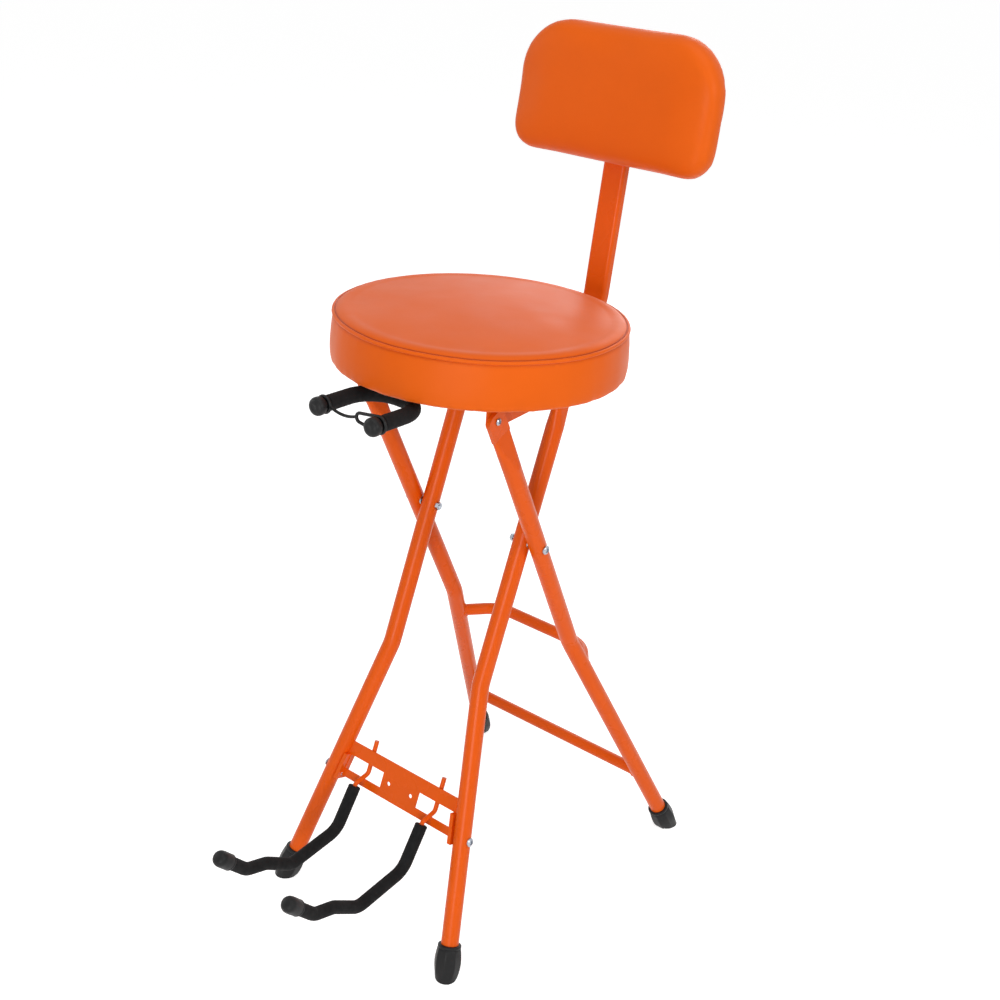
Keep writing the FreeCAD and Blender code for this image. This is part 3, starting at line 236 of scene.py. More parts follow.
def addSeamShade(mesh, amount):
    # How far each point is drawn into a seam, for the finish to darken it with painted shade.
    crease = mesh.attributes.new("crease", "FLOAT", "POINT")
    crease.data.foreach_set("value", np.broadcast_to(amount, len(mesh.vertices)).astype(np.float32))


def smoothPoints(mesh, points, rounds, amount=0.5):
    # Each point moves part of the way to the mean of its neighbours.
    edges = np.empty(len(mesh.edges) * 2, np.int64)
    mesh.edges.foreach_get("vertices", edges)
    a, b = edges.reshape(-1, 2).T
    count = np.bincount(np.concatenate([a, b]), minlength=len(points))[:, None]
    for _ in range(rounds):
        total = np.zeros_like(points)
        np.add.at(total, a, points[b])
        np.add.at(total, b, points[a])
        points = points + amount * (total / count - points)
    return points


def evaluated(piece):
    graph = bpy.context.evaluated_depsgraph_get()
    return bpy.data.meshes.new_from_object(piece.evaluated_get(graph))


stuffing = {"quality": 6, "mass": 0.25, "stiffness": 12, "bending": 1.5}


def swollen(name, sheets, settings, held):
    # Stuffed cover: an even remesh of the slack form, blown up by Cloth pressure while the held
    # points stay, each point's move kept under a cap and evened with its neighbours', then divided once.
    trial = bpy.data.objects.new(name + "_slack", makeMesh(name + "_slack", sheets, creaseAngle=180))
    scene.collection.objects.link(trial)
    remesh = trial.modifiers.new("even", "REMESH")
    remesh.mode = "VOXEL"
    remesh.voxel_size = settings["voxel"] * mm
    mesh = evaluated(trial)
    trial.modifiers.clear()
    trial.data = mesh
    slack = smoothPoints(mesh, getPoints(mesh), settings["slackRounds"])
    setPoints(mesh, slack)
    grip = trial.vertex_groups.new(name="held")
    grip.add(np.nonzero(held(slack))[0].tolist(), 1.0, "REPLACE")
    cloth = trial.modifiers.new("stuffing", "CLOTH").settings
    cloth.quality = stuffing["quality"]
    cloth.mass = stuffing["mass"]
    cloth.tension_stiffness = cloth.compression_stiffness = stuffing["stiffness"]
    cloth.bending_stiffness = stuffing["bending"]
    cloth.use_pressure = True
    cloth.uniform_pressure_force = settings["pressure"]
    cloth.vertex_group_mass = "held"
    cloth.effector_weights.gravity = 0
    for moment in range(1, settings["frames"] + 1):
        scene.frame_set(moment)
    move = getPoints(evaluated(trial)) - slack
    far = np.linalg.norm(move, axis=1, keepdims=True)
    share = settings["cap"] / np.maximum(far, settings["cap"])
    print("stool:", name, "swelled by up to", round(float((far * share).max()), 1), "mm")
    trial.modifiers.clear()
    scene.frame_set(1)
    setPoints(mesh, slack + smoothPoints(mesh, move * share, settings["evenRounds"]))
    divide = trial.modifiers.new("fine", "SUBSURF")
    divide.levels = divide.render_levels = 1
    full = evaluated(trial)
    bpy.data.objects.remove(trial)
    full.polygons.foreach_set("use_smooth", np.ones(len(full.polygons), bool))
    full.name = name
    return full


# Finishes.

grain = {
    "toneBand": (0.32, 0.68), "toneDetail": 5, "hazeBand": (0.3, 0.7), "hazeDetail": 3, "hazeScale": 2.7,
    "reliefDetail": 4,
}


def finish(name, look):
    # Colour wanders between two near tones and roughness between two values, both on slow noise;
    # relief is a chain of fine textures, all laid out on Object coordinates.
    material = bpy.data.materials.new(name)
    material.use_nodes = True
    nodes, links = material.node_tree.nodes, material.node_tree.links
    shader = nodes["Principled BSDF"]
    for socket, value in look.get("fixed", {}).items():
        shader.inputs[socket].default_value = value
    place = nodes.new("ShaderNodeTexCoord")
    spread = nodes.new("ShaderNodeMapping")
    spread.inputs["Scale"].default_value = look.get("stretch", (1, 1, 1))
    links.new(place.outputs["Object"], spread.inputs["Vector"])
    drift = nodes.new("ShaderNodeTexNoise")
    drift.inputs["Scale"].default_value = look["drift"]
    drift.inputs["Detail"].default_value = grain["toneDetail"]
    links.new(spread.outputs["Vector"], drift.inputs["Vector"])
    tone = nodes.new("ShaderNodeValToRGB")
    for stop, at, colour in zip(tone.color_ramp.elements, grain["toneBand"], look["tones"]):
        stop.position = at
        stop.color = (*colour, 1)
    links.new(drift.outputs["Fac"], tone.inputs["Fac"])
    colour = tone.outputs["Color"]
    if "seam" in look:
        # the attribute darkens the cover where it is drawn into a seam: painted shade in the seam's groove
        crease = nodes.new("ShaderNodeAttribute")
        crease.attribute_name = "crease"
        shade = nodes.new("ShaderNodeMix")
        shade.data_type = "RGBA"
        shade.inputs["B"].default_value = (*look["seam"], 1)
        links.new(crease.outputs["Fac"], shade.inputs["Factor"])
        links.new(colour, shade.inputs["A"])
        colour = shade.outputs["Result"]
    links.new(colour, shader.inputs["Base Color"])
    haze = nodes.new("ShaderNodeTexNoise")
    haze.inputs["Scale"].default_value = look["drift"] * grain["hazeScale"]
    haze.inputs["Detail"].default_value = grain["hazeDetail"]
    links.new(spread.outputs["Vector"], haze.inputs["Vector"])
    gloss = nodes.new("ShaderNodeMapRange")
    for end, at, value in zip(("Min", "Max"), grain["hazeBand"], look["rough"]):
        gloss.inputs["From " + end].default_value = at
        gloss.inputs["To " + end].default_value = value
    links.new(haze.outputs["Fac"], gloss.inputs["Value"])
    links.new(gloss.outputs["Result"], shader.inputs["Roughness"])
    relief = None
    for kind, scale, strength, depth in look["relief"]:
        texture = nodes.new("ShaderNodeTexVoronoi" if kind == "cells" else "ShaderNodeTexNoise")
        texture.inputs["Scale"].default_value = scale
        if kind == "cells":
            texture.feature = "SMOOTH_F1"
        else:
            texture.inputs["Detail"].default_value = grain["reliefDetail"]
        links.new(spread.outputs["Vector"], texture.inputs["Vector"])
        bump = nodes.new("ShaderNodeBump")
        bump.inputs["Strength"].default_value = strength
        bump.inputs["Distance"].default_value = depth * mm
        links.new(texture.outputs["Distance" if kind == "cells" else "Fac"], bump.inputs["Height"])
        if relief:
            links.new(relief.outputs["Normal"], bump.inputs["Normal"])
        relief = bump
    links.new(relief.outputs["Normal"], shader.inputs["Normal"])
    return material


# Relief is listed as (kind, scale, strength, depth in mm).
orangeVinyl = finish("orange_vinyl", {
    "tones": [(0.79, 0.116, 0.003), (0.83, 0.126, 0.004)], "drift": 7, "rough": (0.42, 0.52),
    # seam: colour of the painted shade in the seam's groove
    "seam": (0.34, 0.030, 0.002),
    "relief": [("cells", 720, 0.14, 0.2), ("noise", 240, 0.08, 0.25), ("noise", 18, 0.10, 0.8)],
    "fixed": {"Specular IOR Level": 0.13, "Sheen Weight": 0.11, "Sheen Roughness": 0.4},
})
orangeEnamel = finish("orange_enamel", {
    "tones": [(0.81, 0.104, 0.003), (0.84, 0.112, 0.004)], "drift": 11, "rough": (0.25, 0.31),
    "relief": [("noise", 900, 0.01, 0.1)],
    "fixed": {"Specular IOR Level": 0.16},
})
blackFoam = finish("black_foam", {
    "tones": [(0.004, 0.004, 0.0042), (0.008, 0.008, 0.0084)], "drift": 60, "rough": (0.76, 0.90),
    "relief": [("cells", 900, 0.30, 0.35), ("noise", 160, 0.22, 0.5)],
    "fixed": {"Specular IOR Level": 0.2},
})
blackRubber = finish("black_rubber", {
    "tones": [(0.005, 0.005, 0.0053), (0.010, 0.010, 0.0104)], "drift": 40, "rough": (0.40, 0.54),
    "relief": [("noise", 900, 0.08, 0.2), ("noise", 120, 0.06, 0.3)],
    "fixed": {"Specular IOR Level": 0.22},
})
blackPlastic = finish("black_plastic", {
    "tones": [(0.010, 0.010, 0.011), (0.015, 0.015, 0.016)], "drift": 25, "rough": (0.34, 0.44),
    "relief": [("cells", 1100, 0.10, 0.15), ("noise", 300, 0.06, 0.2)],
    "fixed": {"Specular IOR Level": 0.5},
})
zincSteel = finish("zinc_steel", {
    "tones": [(0.34, 0.37, 0.42), (0.46, 0.49, 0.54)], "drift": 130, "rough": (0.24, 0.38),
    "relief": [("noise", 700, 0.08, 0.1)], "fixed": {"Metallic": 1.0},
})
boardWood = finish("board_wood", {
    "tones": [(0.30, 0.175, 0.082), (0.46, 0.30, 0.16)], "drift": 30, "rough": (0.60, 0.75),
    "stretch": (0.25, 4.0, 6.0),
    "relief": [("noise", 260, 0.20, 0.3)],
})

# Solids that keep their own shape, by finish.
keptSolids = [
    (orangeEnamel, [
        "seat_rail_left", "seat_rail_right", "outer_leg_left", "outer_leg_right", "rear_crossbar",
        "rear_bow_bar", "inner_leg_left", "inner_leg_right", "cradle_plate", "cradle_rod_left",
        "cradle_rod_right", "backrest_post", "backrest_socket",
    ]),
    (zincSteel, [
        "rail_screws", "guide_screws", "socket_screws", "front_pivot_nuts", "scissor_nuts",
        "scissor_washers", "slide_pin_left", "slide_pin_right", "yoke_rod", "yoke_slide_bar",
        "backrest_screws",
    ]),
    (blackPlastic, ["yoke_guide", "slide_collars"]),
    (boardWood, ["seat_board", "backrest_board"]),
]
for look, names in keptSolids:
    for name in names:
        solid = frame["nodes"][name]
        solid.data.materials.clear()
        solid.data.materials.append(look)
print("stool: finishes made")


# Camera.

view = {
    "at": (949.65, -1179.95, 1236.09), "yaw": 36.87, "pitch": 24.15, "roll": 4.44, "lens": 50.12,
    "sensor": 36, "farClip": 200,
}


def addCamera():
    # Turned by yaw and pitch from straight ahead, then rolled about its own line of sight.
    yaw, pitch, roll = (math.radians(view[k]) for k in ("yaw", "pitch", "roll"))
    ahead = Vector((-math.sin(yaw) * math.cos(pitch), math.cos(yaw) * math.cos(pitch), -math.sin(pitch)))
    right = Vector((math.cos(yaw), math.sin(yaw), 0))
    up = right.cross(ahead)
    acrossView = math.cos(roll) * right + math.sin(roll) * up
    upView = -math.sin(roll) * right + math.cos(roll) * up
    turn = Matrix((acrossView, upView, -ahead)).transposed()
    eye = bpy.data.cameras.new("camera")
    eye.lens = view["lens"]
    eye.sensor_width = view["sensor"]
    eye.clip_end = view["farClip"]
    holder = bpy.data.objects.new("camera", eye)
    holder.matrix_world = Matrix.Translation(Vector(view["at"]) * mm) @ turn.to_4x4()
    scene.collection.objects.link(holder)
    scene.camera = holder


addCamera()


# Seat.

seatY = 24.5
seat = {
    "voxel": 5.0, "pressure": 4.0, "cap": 5.0, "frames": 20, "slackRounds": 3, "evenRounds": 24,
    # the slack cover, from its middle below, round the board's edge and the rim, to the top
    "slackSides": 120,
    "slack": [
        (0, 736.6), (156.6, 736.6), (156.6, 723.6), (158, 722.6), (164, 722.4), (167, 724.4),
        (168.2, 730), (168.6, 745), (168.6, 762), (168.2, 772), (167.6, 778), (166.6, 780), (162, 781.2),
        (150, 782), (120, 783), (80, 784), (40, 784.6), (0, 784.8),
    ],
    # held while it swells: what is near the piping, the hem, and the wall inside the lip
    "seamGrip": 6.5, "hemTop": 727, "lipTop": 740, "lipRadius": 158,
    # section of the sewn cover, from the hem up the side band and over the piping to the top
    "core": (146, 752),
    "section": [
        (158, 722.2), (164.5, 722.1), (168.2, 722.9), (170.2, 724.8), (171.2, 728), (171.6, 734),
        (171.4, 742), (170.8, 752), (170.1, 762), (169.5, 769), (169.0, 772.6), (168.3, 774.8),
        (167.4, 776.0), (166.9, 777.2), (166.2, 778.5), (164.6, 780.1), (161.5, 781.5), (156, 782.7),
        (150, 783.4), (144, 784.0),
    ],
    "topFade": (148, 158), "wallFade": (157.4, 159),
    # puckers are (size, waves, swing of their pitch, slow waves, start), drift is (size, waves, start)
    "puckers": [(1, 31, 1.7, 5, 0), (0.6, 53, 2.1, 7, 1)], "drift": [(0.3, 3, 0.6), (0.2, 7, 2.0)],
    "pucker": 0.3, "puckerReach": 9.0, "hemZ": 722, "hemReach": 10, "hemPucker": 1.2, "topPucker": 0.5,
    "sideFade": (158, 164), "underPipe": (776, 770), "insidePipe": (163, 157), "bandTop": 770,
    # the side band's upright middle is smoothed again
    "bandRounds": 6, "bandLow": (726, 731), "bandHigh": (770, 766), "bandRadius": 160,
    # painted shade next to the piping: (distance where it is gone, distance where it is full) and its
    # greatest strength
    "creaseFade": (4.4, 0.4), "creaseMost": 0.4,
}
piping = {
    "radius": 168.0, "z": 776.9, "thick": 4.2, "sides": 16, "points": 360, "ripple": 0.03,
    "ripples": (47, 2, 6), "rise": 0.2, "rises": 9,
    # the sunk seam cord, and the strength of the painted shade on it
    "seamRadius": 166.1, "seamZ": 778.9, "seam": 1.5, "seamSides": 10, "seamShadeAmount": 0.6,
}
hem = {
    # (radius, height, share of the pleats, share of the wavy edge) round the hem's section
    "section": [
        (161.6, 723.5, 0.2, 0), (159.6, 722.9, 1, 0), (156, 722.8, 1, 0), (152, 723.0, 0.9, 0.5),
        (148, 723.2, 0.6, 1), (146.5, 723.6, 0.4, 1), (148, 724.0, 0, 0.6), (154, 724.05, 0, 0),
        (160, 724.1, 0, 0),
    ],
    "points": 480, "deep": 0.55, "pleats": (21, 1.3, 4), "sharpness": 3, "fine": 0.4, "fineWaves": 64,
    "edge": 1.2, "edgeWaves": (17, 2, 3),
}
staple = {
    "count": 40, "ring": 152, "z": 722.3, "uneven": 0.1, "unevenWaves": 9,
    "length": 10, "radius": 0.55, "edge": 0.25, "step": 3, "sides": 8,
}


def turned(profile, sides):
    # A profile of (radius, height) pairs turned about the seat's upright axis.
    r, z = np.array(profile, float).T[:, :, None]
    a = around(sides)[None, :]
    x, y = r * np.cos(a), seatY + r * np.sin(a)
    return np.stack([x, y, np.broadcast_to(z, x.shape)], axis=-1)


def heldSeat(p):
    # True near the piping, in the hem, and on the low wall inside the lip.
    r, z = np.hypot(p[:, 0], p[:, 1] - seatY), p[:, 2]
    seam = np.hypot(r - piping["radius"], z - piping["z"]) < seat["seamGrip"]
    return seam | (z < seat["hemTop"]) | ((z < seat["lipTop"]) & (r < seat["lipRadius"]))


def seatCover():
    slack = turned(seat["slack"], seat["slackSides"])
    mesh = swollen("seat_cover", [(slack, False, True)], seat, heldSeat)
    x, y, z = getPoints(mesh).T
    r, a = np.hypot(x, y - seatY), np.arctan2(y - seatY, x)
    # Sewn edge: seen from a core inside the stuffing, the distance out to the cover is drawn to the
    # section's, fully round the rim and fading in over the top; the lip's inner wall is left alone.
    sectionOut, sectionRise = (np.array(seat["section"]) - seat["core"]).T
    out, rise = r - seat["core"][0], z - seat["core"][1]
    angle = np.arctan2(rise, out)
    wanted = np.interp(angle, np.arctan2(sectionRise, sectionOut), np.hypot(sectionOut, sectionRise))
    drawn = np.where(rise > 0, ramp(r, *seat["topFade"]), ramp(r, *seat["wallFade"]))
    fit = drawn * (wanted - np.hypot(out, rise))
    r = r + fit * np.cos(angle)
    z = z + fit * np.sin(angle)
    # Puckers: radial waves of uneven pitch along the seam and the hem, fading away from them.
    near = np.hypot(r - piping["radius"], z - piping["z"])
    wave = sum(size * unevenWave(a, *waves) for size, *waves in seat["puckers"])
    seamFade = np.exp(-near / seat["puckerReach"])
    hemFade = np.exp(-np.clip(z - seat["hemZ"], 0, None) / seat["hemReach"]) * (r > seat["lipRadius"])
    swing = seat["pucker"] * wave * (seamFade + seat["hemPucker"] * hemFade)
    slow = sum(size * np.sin(count * a + start) for size, count, start in seat["drift"])
    r = r + (swing + slow) * ramp(r, *seat["sideFade"]) * ramp(z, *seat["underPipe"])
    z = z + seat["topPucker"] * swing * ramp(r, *seat["insidePipe"]) * (z > seat["bandTop"])
    p = np.stack([r * np.cos(a), seatY + r * np.sin(a), z], axis=1)
    band = ramp(z, *seat["bandLow"]) * ramp(z, *seat["bandHigh"]) * (r > seat["bandRadius"])
    p = p + band[:, None] * (smoothPoints(mesh, p, seat["bandRounds"]) - p)
    setPoints(mesh, p)
    # Painted shade: the cover darkens in the seam's groove, most next to the piping.
    addSeamShade(mesh, np.minimum(ramp(near, *seat["creaseFade"]), seat["creaseMost"]))
    cover = addPiece("seat_cover", mesh, orangeVinyl, "seat", ["seat_cushion"])


def rimLoop(radius, height, a):
    # A level circle about the seat's axis, rising and falling a little.
    z = height + piping["rise"] * np.sin(piping["rises"] * a)
    return np.stack([radius * np.cos(a), seatY + radius * np.sin(a), z], axis=1)


def seatPiping():
    # A cord under vinyl round the rim, its radius rippling a little where the cover is gathered,
    # and above it the sunk seam that joins it to the top, darkened all along with painted shade.
    a = around(piping["points"])
    thick = piping["thick"] / 2 * (1 + piping["ripple"] * unevenWave(a, *piping["ripples"]))
    cord = loopTube(rimLoop(piping["radius"], piping["z"], a), thick, piping["sides"])
    build("seat_rim_piping", [(cord, True, True)], orangeVinyl, "seat", ["seat_piping"])
    seamLoop = rimLoop(piping["seamRadius"], piping["seamZ"], a)
    sunk = loopTube(seamLoop, piping["seam"] / 2, piping["seamSides"])
    seam = build("seat_seam_shade", [(sunk, True, True)], orangeVinyl, "seat")
    # painted shade: the sunk seam's cord is darkened all along
    addSeamShade(seam.data, piping["seamShadeAmount"])


def seatHem():
    # The cover's turned-under edge below the board: height falls with pleats of uneven pitch, radius
    # swings along the inner edge.
    a = around(hem["points"])[None, :]
    r, z, pleated, wavy = np.array(hem["section"]).T[:, :, None]
    sharp = np.abs(unevenWave(a, *hem["pleats"])) ** hem["sharpness"]
    pleat = sharp + hem["fine"] * np.sin(hem["fineWaves"] * a)
    r = r + wavy * hem["edge"] * unevenWave(a, *hem["edgeWaves"])
    z = z - hem["deep"] * pleated * pleat
    grid = np.stack([r * np.cos(a), seatY + r * np.sin(a), z], axis=-1)
    build("seat_hem", [(grid, True, True)], orangeVinyl, "seat", creaseAngle=60)


def hemStaples():
    # Short wires laid round the hem, each turned with its place on the ring.
    half = staple["length"] / 2
    stations = tubeStations(staple["length"], staple["radius"], staple["edge"], staple["step"])
    wire = carry(np.array([(0, -half, 0), (0, half, 0)]), stations, staple["sides"], (0, 0, 1))
    staples = []
    for turn in around(staple["count"]):
        c, s = math.cos(turn), math.sin(turn)
        spin = np.array([[c, -s, 0], [s, c, 0], [0, 0, 1]])
        z = staple["z"] + staple["uneven"] * math.sin(staple["unevenWaves"] * turn)
        spot = np.array([staple["ring"] * c, seatY + staple["ring"] * s, z])
        staples.append((wire @ spin.T + spot, False, True))
    build("hem_staples", staples, zincSteel, "seat")


seatCover()
seatPiping()
seatHem()
hemStaples()
print("stool: seat dressed")


# Back pad and post.

back = {
    "base": (seatY + 225, 712.593), "lean": math.radians(6), "half": 141.6, "low": 211.5, "high": 371.5,
    "lowRadius": 31, "highRadius": 67, "leastRadius": 4, "front": -42.5, "rear": -8.7, "edge": 14,
    "crownLift": 2, "frontShares": (0, 0.3, 0.6, 0.85), "frontRows": 7,
    "rearInset": 5, "rearRound": 6, "rearFrom": 0.3, "rearRows": 4, "rearShares": (0.8, 0.4, 0), "grip": 3,
    "voxel": 4.5, "pressure": 4.0, "cap": 4.0, "frames": 20, "slackRounds": 6, "evenRounds": 40,
}
plug = {
    "half": (16, 7.5), "corner": 4.5, "leastCorner": 1, "dome": 3.3, "topAt": 345.02,
    "lowAt": (seatY + 90.95, 712.593),
    # (step in from the post's outline, rise)
    "steps": [(0.0, 0.0), (0.0, 1.6), (0.6, 2.4), (1.6, 2.9), (3.2, 3.2)],
}


def backPoints(p):
    # From the back's own frame, turned about its foot by its lean, to the stool's.
    c, s = math.cos(back["lean"]), math.sin(back["lean"])
    y = back["base"][0] + p[..., 1] * c + p[..., 2] * s
    z = back["base"][1] - p[..., 1] * s + p[..., 2] * c
    return np.stack([p[..., 0], y, z], axis=-1)


def backLocal(p):
    # The other way round, from the stool's frame to the back's own.
    c, s = math.cos(back["lean"]), math.sin(back["lean"])
    y, z = p[:, 1] - back["base"][0], p[:, 2] - back["base"][1]
    return np.stack([p[:, 0], y * c - z * s, y * s + z * c], axis=1)


def padOutline(inset):
    # The pad's rounded outline drawn in all round by one inset, its corner radii with it.
    radii = [max(back[k] - inset, back["leastRadius"]) for k in ("lowRadius", "highRadius")]
    return roundedRect(back["half"] - inset, back["low"] + inset, back["high"] - inset, *radii)


def backPad():
    # Rounded outlines stacked from the front's middle, over a quarter-round edge, to the flat back.
    edge, front, rear, inset = (back[k] for k in ("edge", "front", "rear", "rearInset"))
    middle = np.array([0, (back["low"] + back["high"]) / 2 + back["crownLift"]])
    rows = []
    for share in back["frontShares"]:
        rows.append((middle + share * (padOutline(edge) - middle), front))
    for a in np.linspace(0, np.pi / 2, back["frontRows"]):
        rows.append((padOutline(edge * (1 - math.sin(a))), front + edge * (1 - math.cos(a))))
    for a in np.linspace(back["rearFrom"], np.pi / 2, back["rearRows"]):
        rows.append((padOutline(inset * (1 - math.cos(a))), rear - back["rearRound"] * (1 - math.sin(a))))
    for share in back["rearShares"]:
        rows.append((middle + share * (padOutline(inset) - middle), rear))
    grid = np.stack([np.insert(outline, 1, y, axis=1) for outline, y in rows])
    mesh = swollen("back_cover", [(backPoints(grid), False, True)], back,
                   lambda p: backLocal(p)[:, 1] > rear - back["grip"])
    p = backLocal(getPoints(mesh))
    # Flat behind, where it lies on its board.
    p[:, 1] = np.minimum(p[:, 1], rear)
    setPoints(mesh, backPoints(p))
    cover = addPiece("back_cover", mesh, orangeVinyl, "backrest", ["backrest_pad"])


def postCaps():
    # Moulded plugs in the post's open ends: rounded outlines stepping in over a low dome.
    halfX, halfY = plug["half"]
    rows = []
    for inset, rise in plug["steps"]:
        corner = max(plug["corner"] - inset, plug["leastCorner"])
        outline = roundedRect(halfX - inset, inset - halfY, halfY - inset, corner, corner)
        rows.append(np.insert(outline, 2, rise, axis=1))
    middle = np.zeros_like(rows[0])
    shell = np.stack([middle, *rows, middle + [0, 0, plug["dome"]]])
    top = backPoints(shell + [0, 0, plug["topAt"]])
    y, z = plug["lowAt"]
    low = np.stack([shell[..., 0], y - shell[..., 2], z + shell[..., 1]], axis=-1)
    build("post_plugs", [(top, False, True), (low, False, True)], blackPlastic, "backrest")


backPad()
postCaps()
print("stool: back dressed")


# Legs, feet, bolts and welds.

pivotY, pivotZ = seatY + 14.6, 512.4
outerFrame = {"lean": -28.35, "flare": 11.137, "foot": 174.6}
innerFrame = {"lean": 19.0, "flare": 10.895, "foot": 141.5}
foot = {
    # (distance up the leg from the floor, radius)
    "stations": [
        (-7, 0), (-7, 13.2), (-5, 13.4), (0, 13.7), (2, 14.3), (7, 15.2), (13, 16.1), (19, 16.5),
        (26, 16.1), (33, 15.2), (36.4, 14.6), (37.0, 14.1), (37.6, 14.6), (39.6, 14.6),
        (40.6, 14.3), (41, 13.6), (41, 11.0), (39, 10.6), (15, 0),
    ],
    "below": 10, "above": 60, "sides": 96,
    "facets": 8, "facetSize": 1.03, "facetMost": 1.025, "facetIn": (1, 5), "facetOut": (38, 35),
}
bolt = {
    "head": 5.5, "thick": 4.0, "dome": 0.58, "rim": 0.3, "shank": 3.0, "tipLength": 0.8, "tipIn": 0.7,
    "sides": 64, "slotHalf": 0.75, "slotReach": 3.1, "slotDeep": 1.5, "slotTurn": 0.35, "upright": 0.9,
    "radii": [0, 0.35, 0.7, 0.8, 1.2, 1.7, 2.2, 2.7, 3.05, 3.2, 3.7, 4.3, 4.9, 5.3, 5.5],
    # (solid, head radius, head thickness)
    "pivots": [("front_pivot_bolt_", 4.0, 3.0), ("scissor_bolt_", 5.5, 4.0)],
    # screws of the cradle's plate, measured in the inner frame's plane
    "plateX": 109.27, "plateDown": 374.4, "plateOut": 15, "plateIn": 16,
}
bars = {
    "radius": 8, "legRadius": 11, "crossZ": 105.5, "bowZ": 302, "bowCorner": 70, "bowDepth": 48,
    "bead": 1.9, "points": 60, "sides": 10, "ripple": 0.12, "ripples": 19,
}


def leaned(p, lean):
    # From a frame's own plane, measured from the scissor pivot, to the stool's frame.
    t = math.radians(lean)
    y = pivotY + p[..., 1] * math.cos(t) + p[..., 2] * math.sin(t)
    z = pivotZ - p[..., 1] * math.sin(t) + p[..., 2] * math.cos(t)
    return np.stack([p[..., 0], y, z], axis=-1)


def legLine(plan, side, length=60):
    # Two points of a leg's lower run: where it meets the floor, and a length up the tube.
    flare = math.radians(plan["flare"])
    low = np.array([side * plan["foot"], 0.0, -pivotZ / math.cos(math.radians(plan["lean"]))])
    up = np.array([-side * math.sin(flare), 0.0, math.cos(flare)])
    return leaned(np.stack([low, low + length * up]), plan["lean"])


def rubberFoot(name, plan, side, body, node):
    # Turned profile whose middle is drawn to flat facets: r / cos(angle from the facet's middle).
    floorPoint, upper = legLine(plan, side)
    ahead = unit(upper - floorPoint)
    route = np.stack([floorPoint - foot["below"] * ahead, floorPoint + foot["above"] * ahead])
    stations = np.array(foot["stations"], float)
    part = 2 * np.pi / foot["facets"]
    fromMiddle = (around(foot["sides"]) + part / 2) % part - part / 2
    flat = np.minimum(foot["facetSize"] * math.cos(part / 2) / np.cos(fromMiddle), foot["facetMost"])
    weight = ramp(stations[:, 0], *foot["facetIn"]) * ramp(stations[:, 0], *foot["facetOut"])
    shape = 1 + weight[:, None] * (flat[None, :] - 1)
    grid = carry(route, stations + [foot["below"], 0], foot["sides"], (1, 0, 0), shape)
    # What would lie below the floor slides up the leg's line to it.
    grid = grid + np.clip(-grid[..., 2:], 0, None) / ahead[2] * ahead
    build(name, [(grid, False, True)], blackRubber, body, [node], creaseAngle=50)


def boltGrid(outer, inward, length, head=bolt["head"], thick=bolt["thick"]):
    # Domed head with a cross sunk in it: height falls with the square of the radius, and points
    # within the cross drop by its depth.
    size = head / bolt["head"]
    r = size * np.array(bolt["radii"])
    top = np.stack([bolt["dome"] * thick * (r / head) ** 2, r], axis=1)
    rim, shank = bolt["rim"], bolt["shank"]
    rest = [
        (thick - rim, head), (thick, head - rim), (thick, shank),
        (length - bolt["tipLength"], shank), (length, shank - bolt["tipIn"]), (length, 0),
    ]
    outer, inward = np.array(outer, float), unit(np.array(inward, float))
    route = np.stack([outer, outer + inward * length])
    lie = (0, 0, 1) if abs(inward[2]) < bolt["upright"] else (0, 1, 0)
    grid = carry(route, np.concatenate([top, rest]), bolt["sides"], lie)
    a = around(bolt["sides"]) + bolt["slotTurn"]
    u, v = np.abs(r[:, None] * np.cos(a)), np.abs(r[:, None] * np.sin(a))
    sunk = (np.minimum(u, v) < size * bolt["slotHalf"]) & (np.maximum(u, v) < size * bolt["slotReach"])
    grid[:len(r)] += (sunk * size * bolt["slotDeep"])[..., None] * inward
    return grid, False, True


def pivotScrews(sideName, side):
    # In the place of the solids' bolts: from the outer face of each one's box, inward along x.
    for node, head, thick in bolt["pivots"]:
        low, high = (np.array(c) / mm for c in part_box(node + sideName))
        middle = (low + high) / 2
        outer = [high[0] if side > 0 else low[0], middle[1], middle[2]]
        screw = boltGrid(outer, (-side, 0, 0), high[0] - low[0], head, thick)
        build(node.replace("_bolt_", "_screw_") + sideName, [screw], zincSteel,
              frame["nodes"][node + sideName]["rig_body"], [node + sideName], creaseAngle=30)


def plateScrews():
    # Square to the inner legs, through them into the plate's end tabs.
    flare = math.radians(innerFrame["flare"])
    sheets = []
    for _, side in bothSides:
        out = np.array([side * math.cos(flare), 0, math.sin(flare)])
        spot = np.array([side * bolt["plateX"], 0, -bolt["plateDown"]])
        ends = np.stack([spot + bolt["plateOut"] * out, spot - bolt["plateIn"] * out])
        outer, inner = leaned(ends, innerFrame["lean"])
        sheets.append(boltGrid(outer, inner - outer, bolt["plateOut"] + bolt["plateIn"]))
    build("plate_screws", sheets, zincSteel, "inner_frame", ["plate_bolts"], creaseAngle=30)


def weldLoop(start, ahead, legPoint, legAhead):
    # Where a round bar runs into a round leg: from each point of the bar's rim, the distance along
    # the bar at which the leg's axis is one leg radius away.
    ahead, legAhead = unit(ahead), unit(legAhead)
    lie = np.cross(ahead, (0, 0, 1.0))
    over = np.cross(lie, ahead)
    a = around(bars["points"])[:, None]
    rim = start + bars["radius"] * (np.cos(a) * lie + np.sin(a) * over)
    gap = rim - legPoint
    gap = gap - (gap @ legAhead)[:, None] * legAhead
    run = ahead - (ahead @ legAhead) * legAhead
    b, c = gap @ run, (gap * gap).sum(axis=1) - bars["legRadius"] ** 2
    reach = (-b - np.sqrt(np.maximum(b * b - (run @ run) * c, 0))) / (run @ run)
    return rim + reach[:, None] * ahead


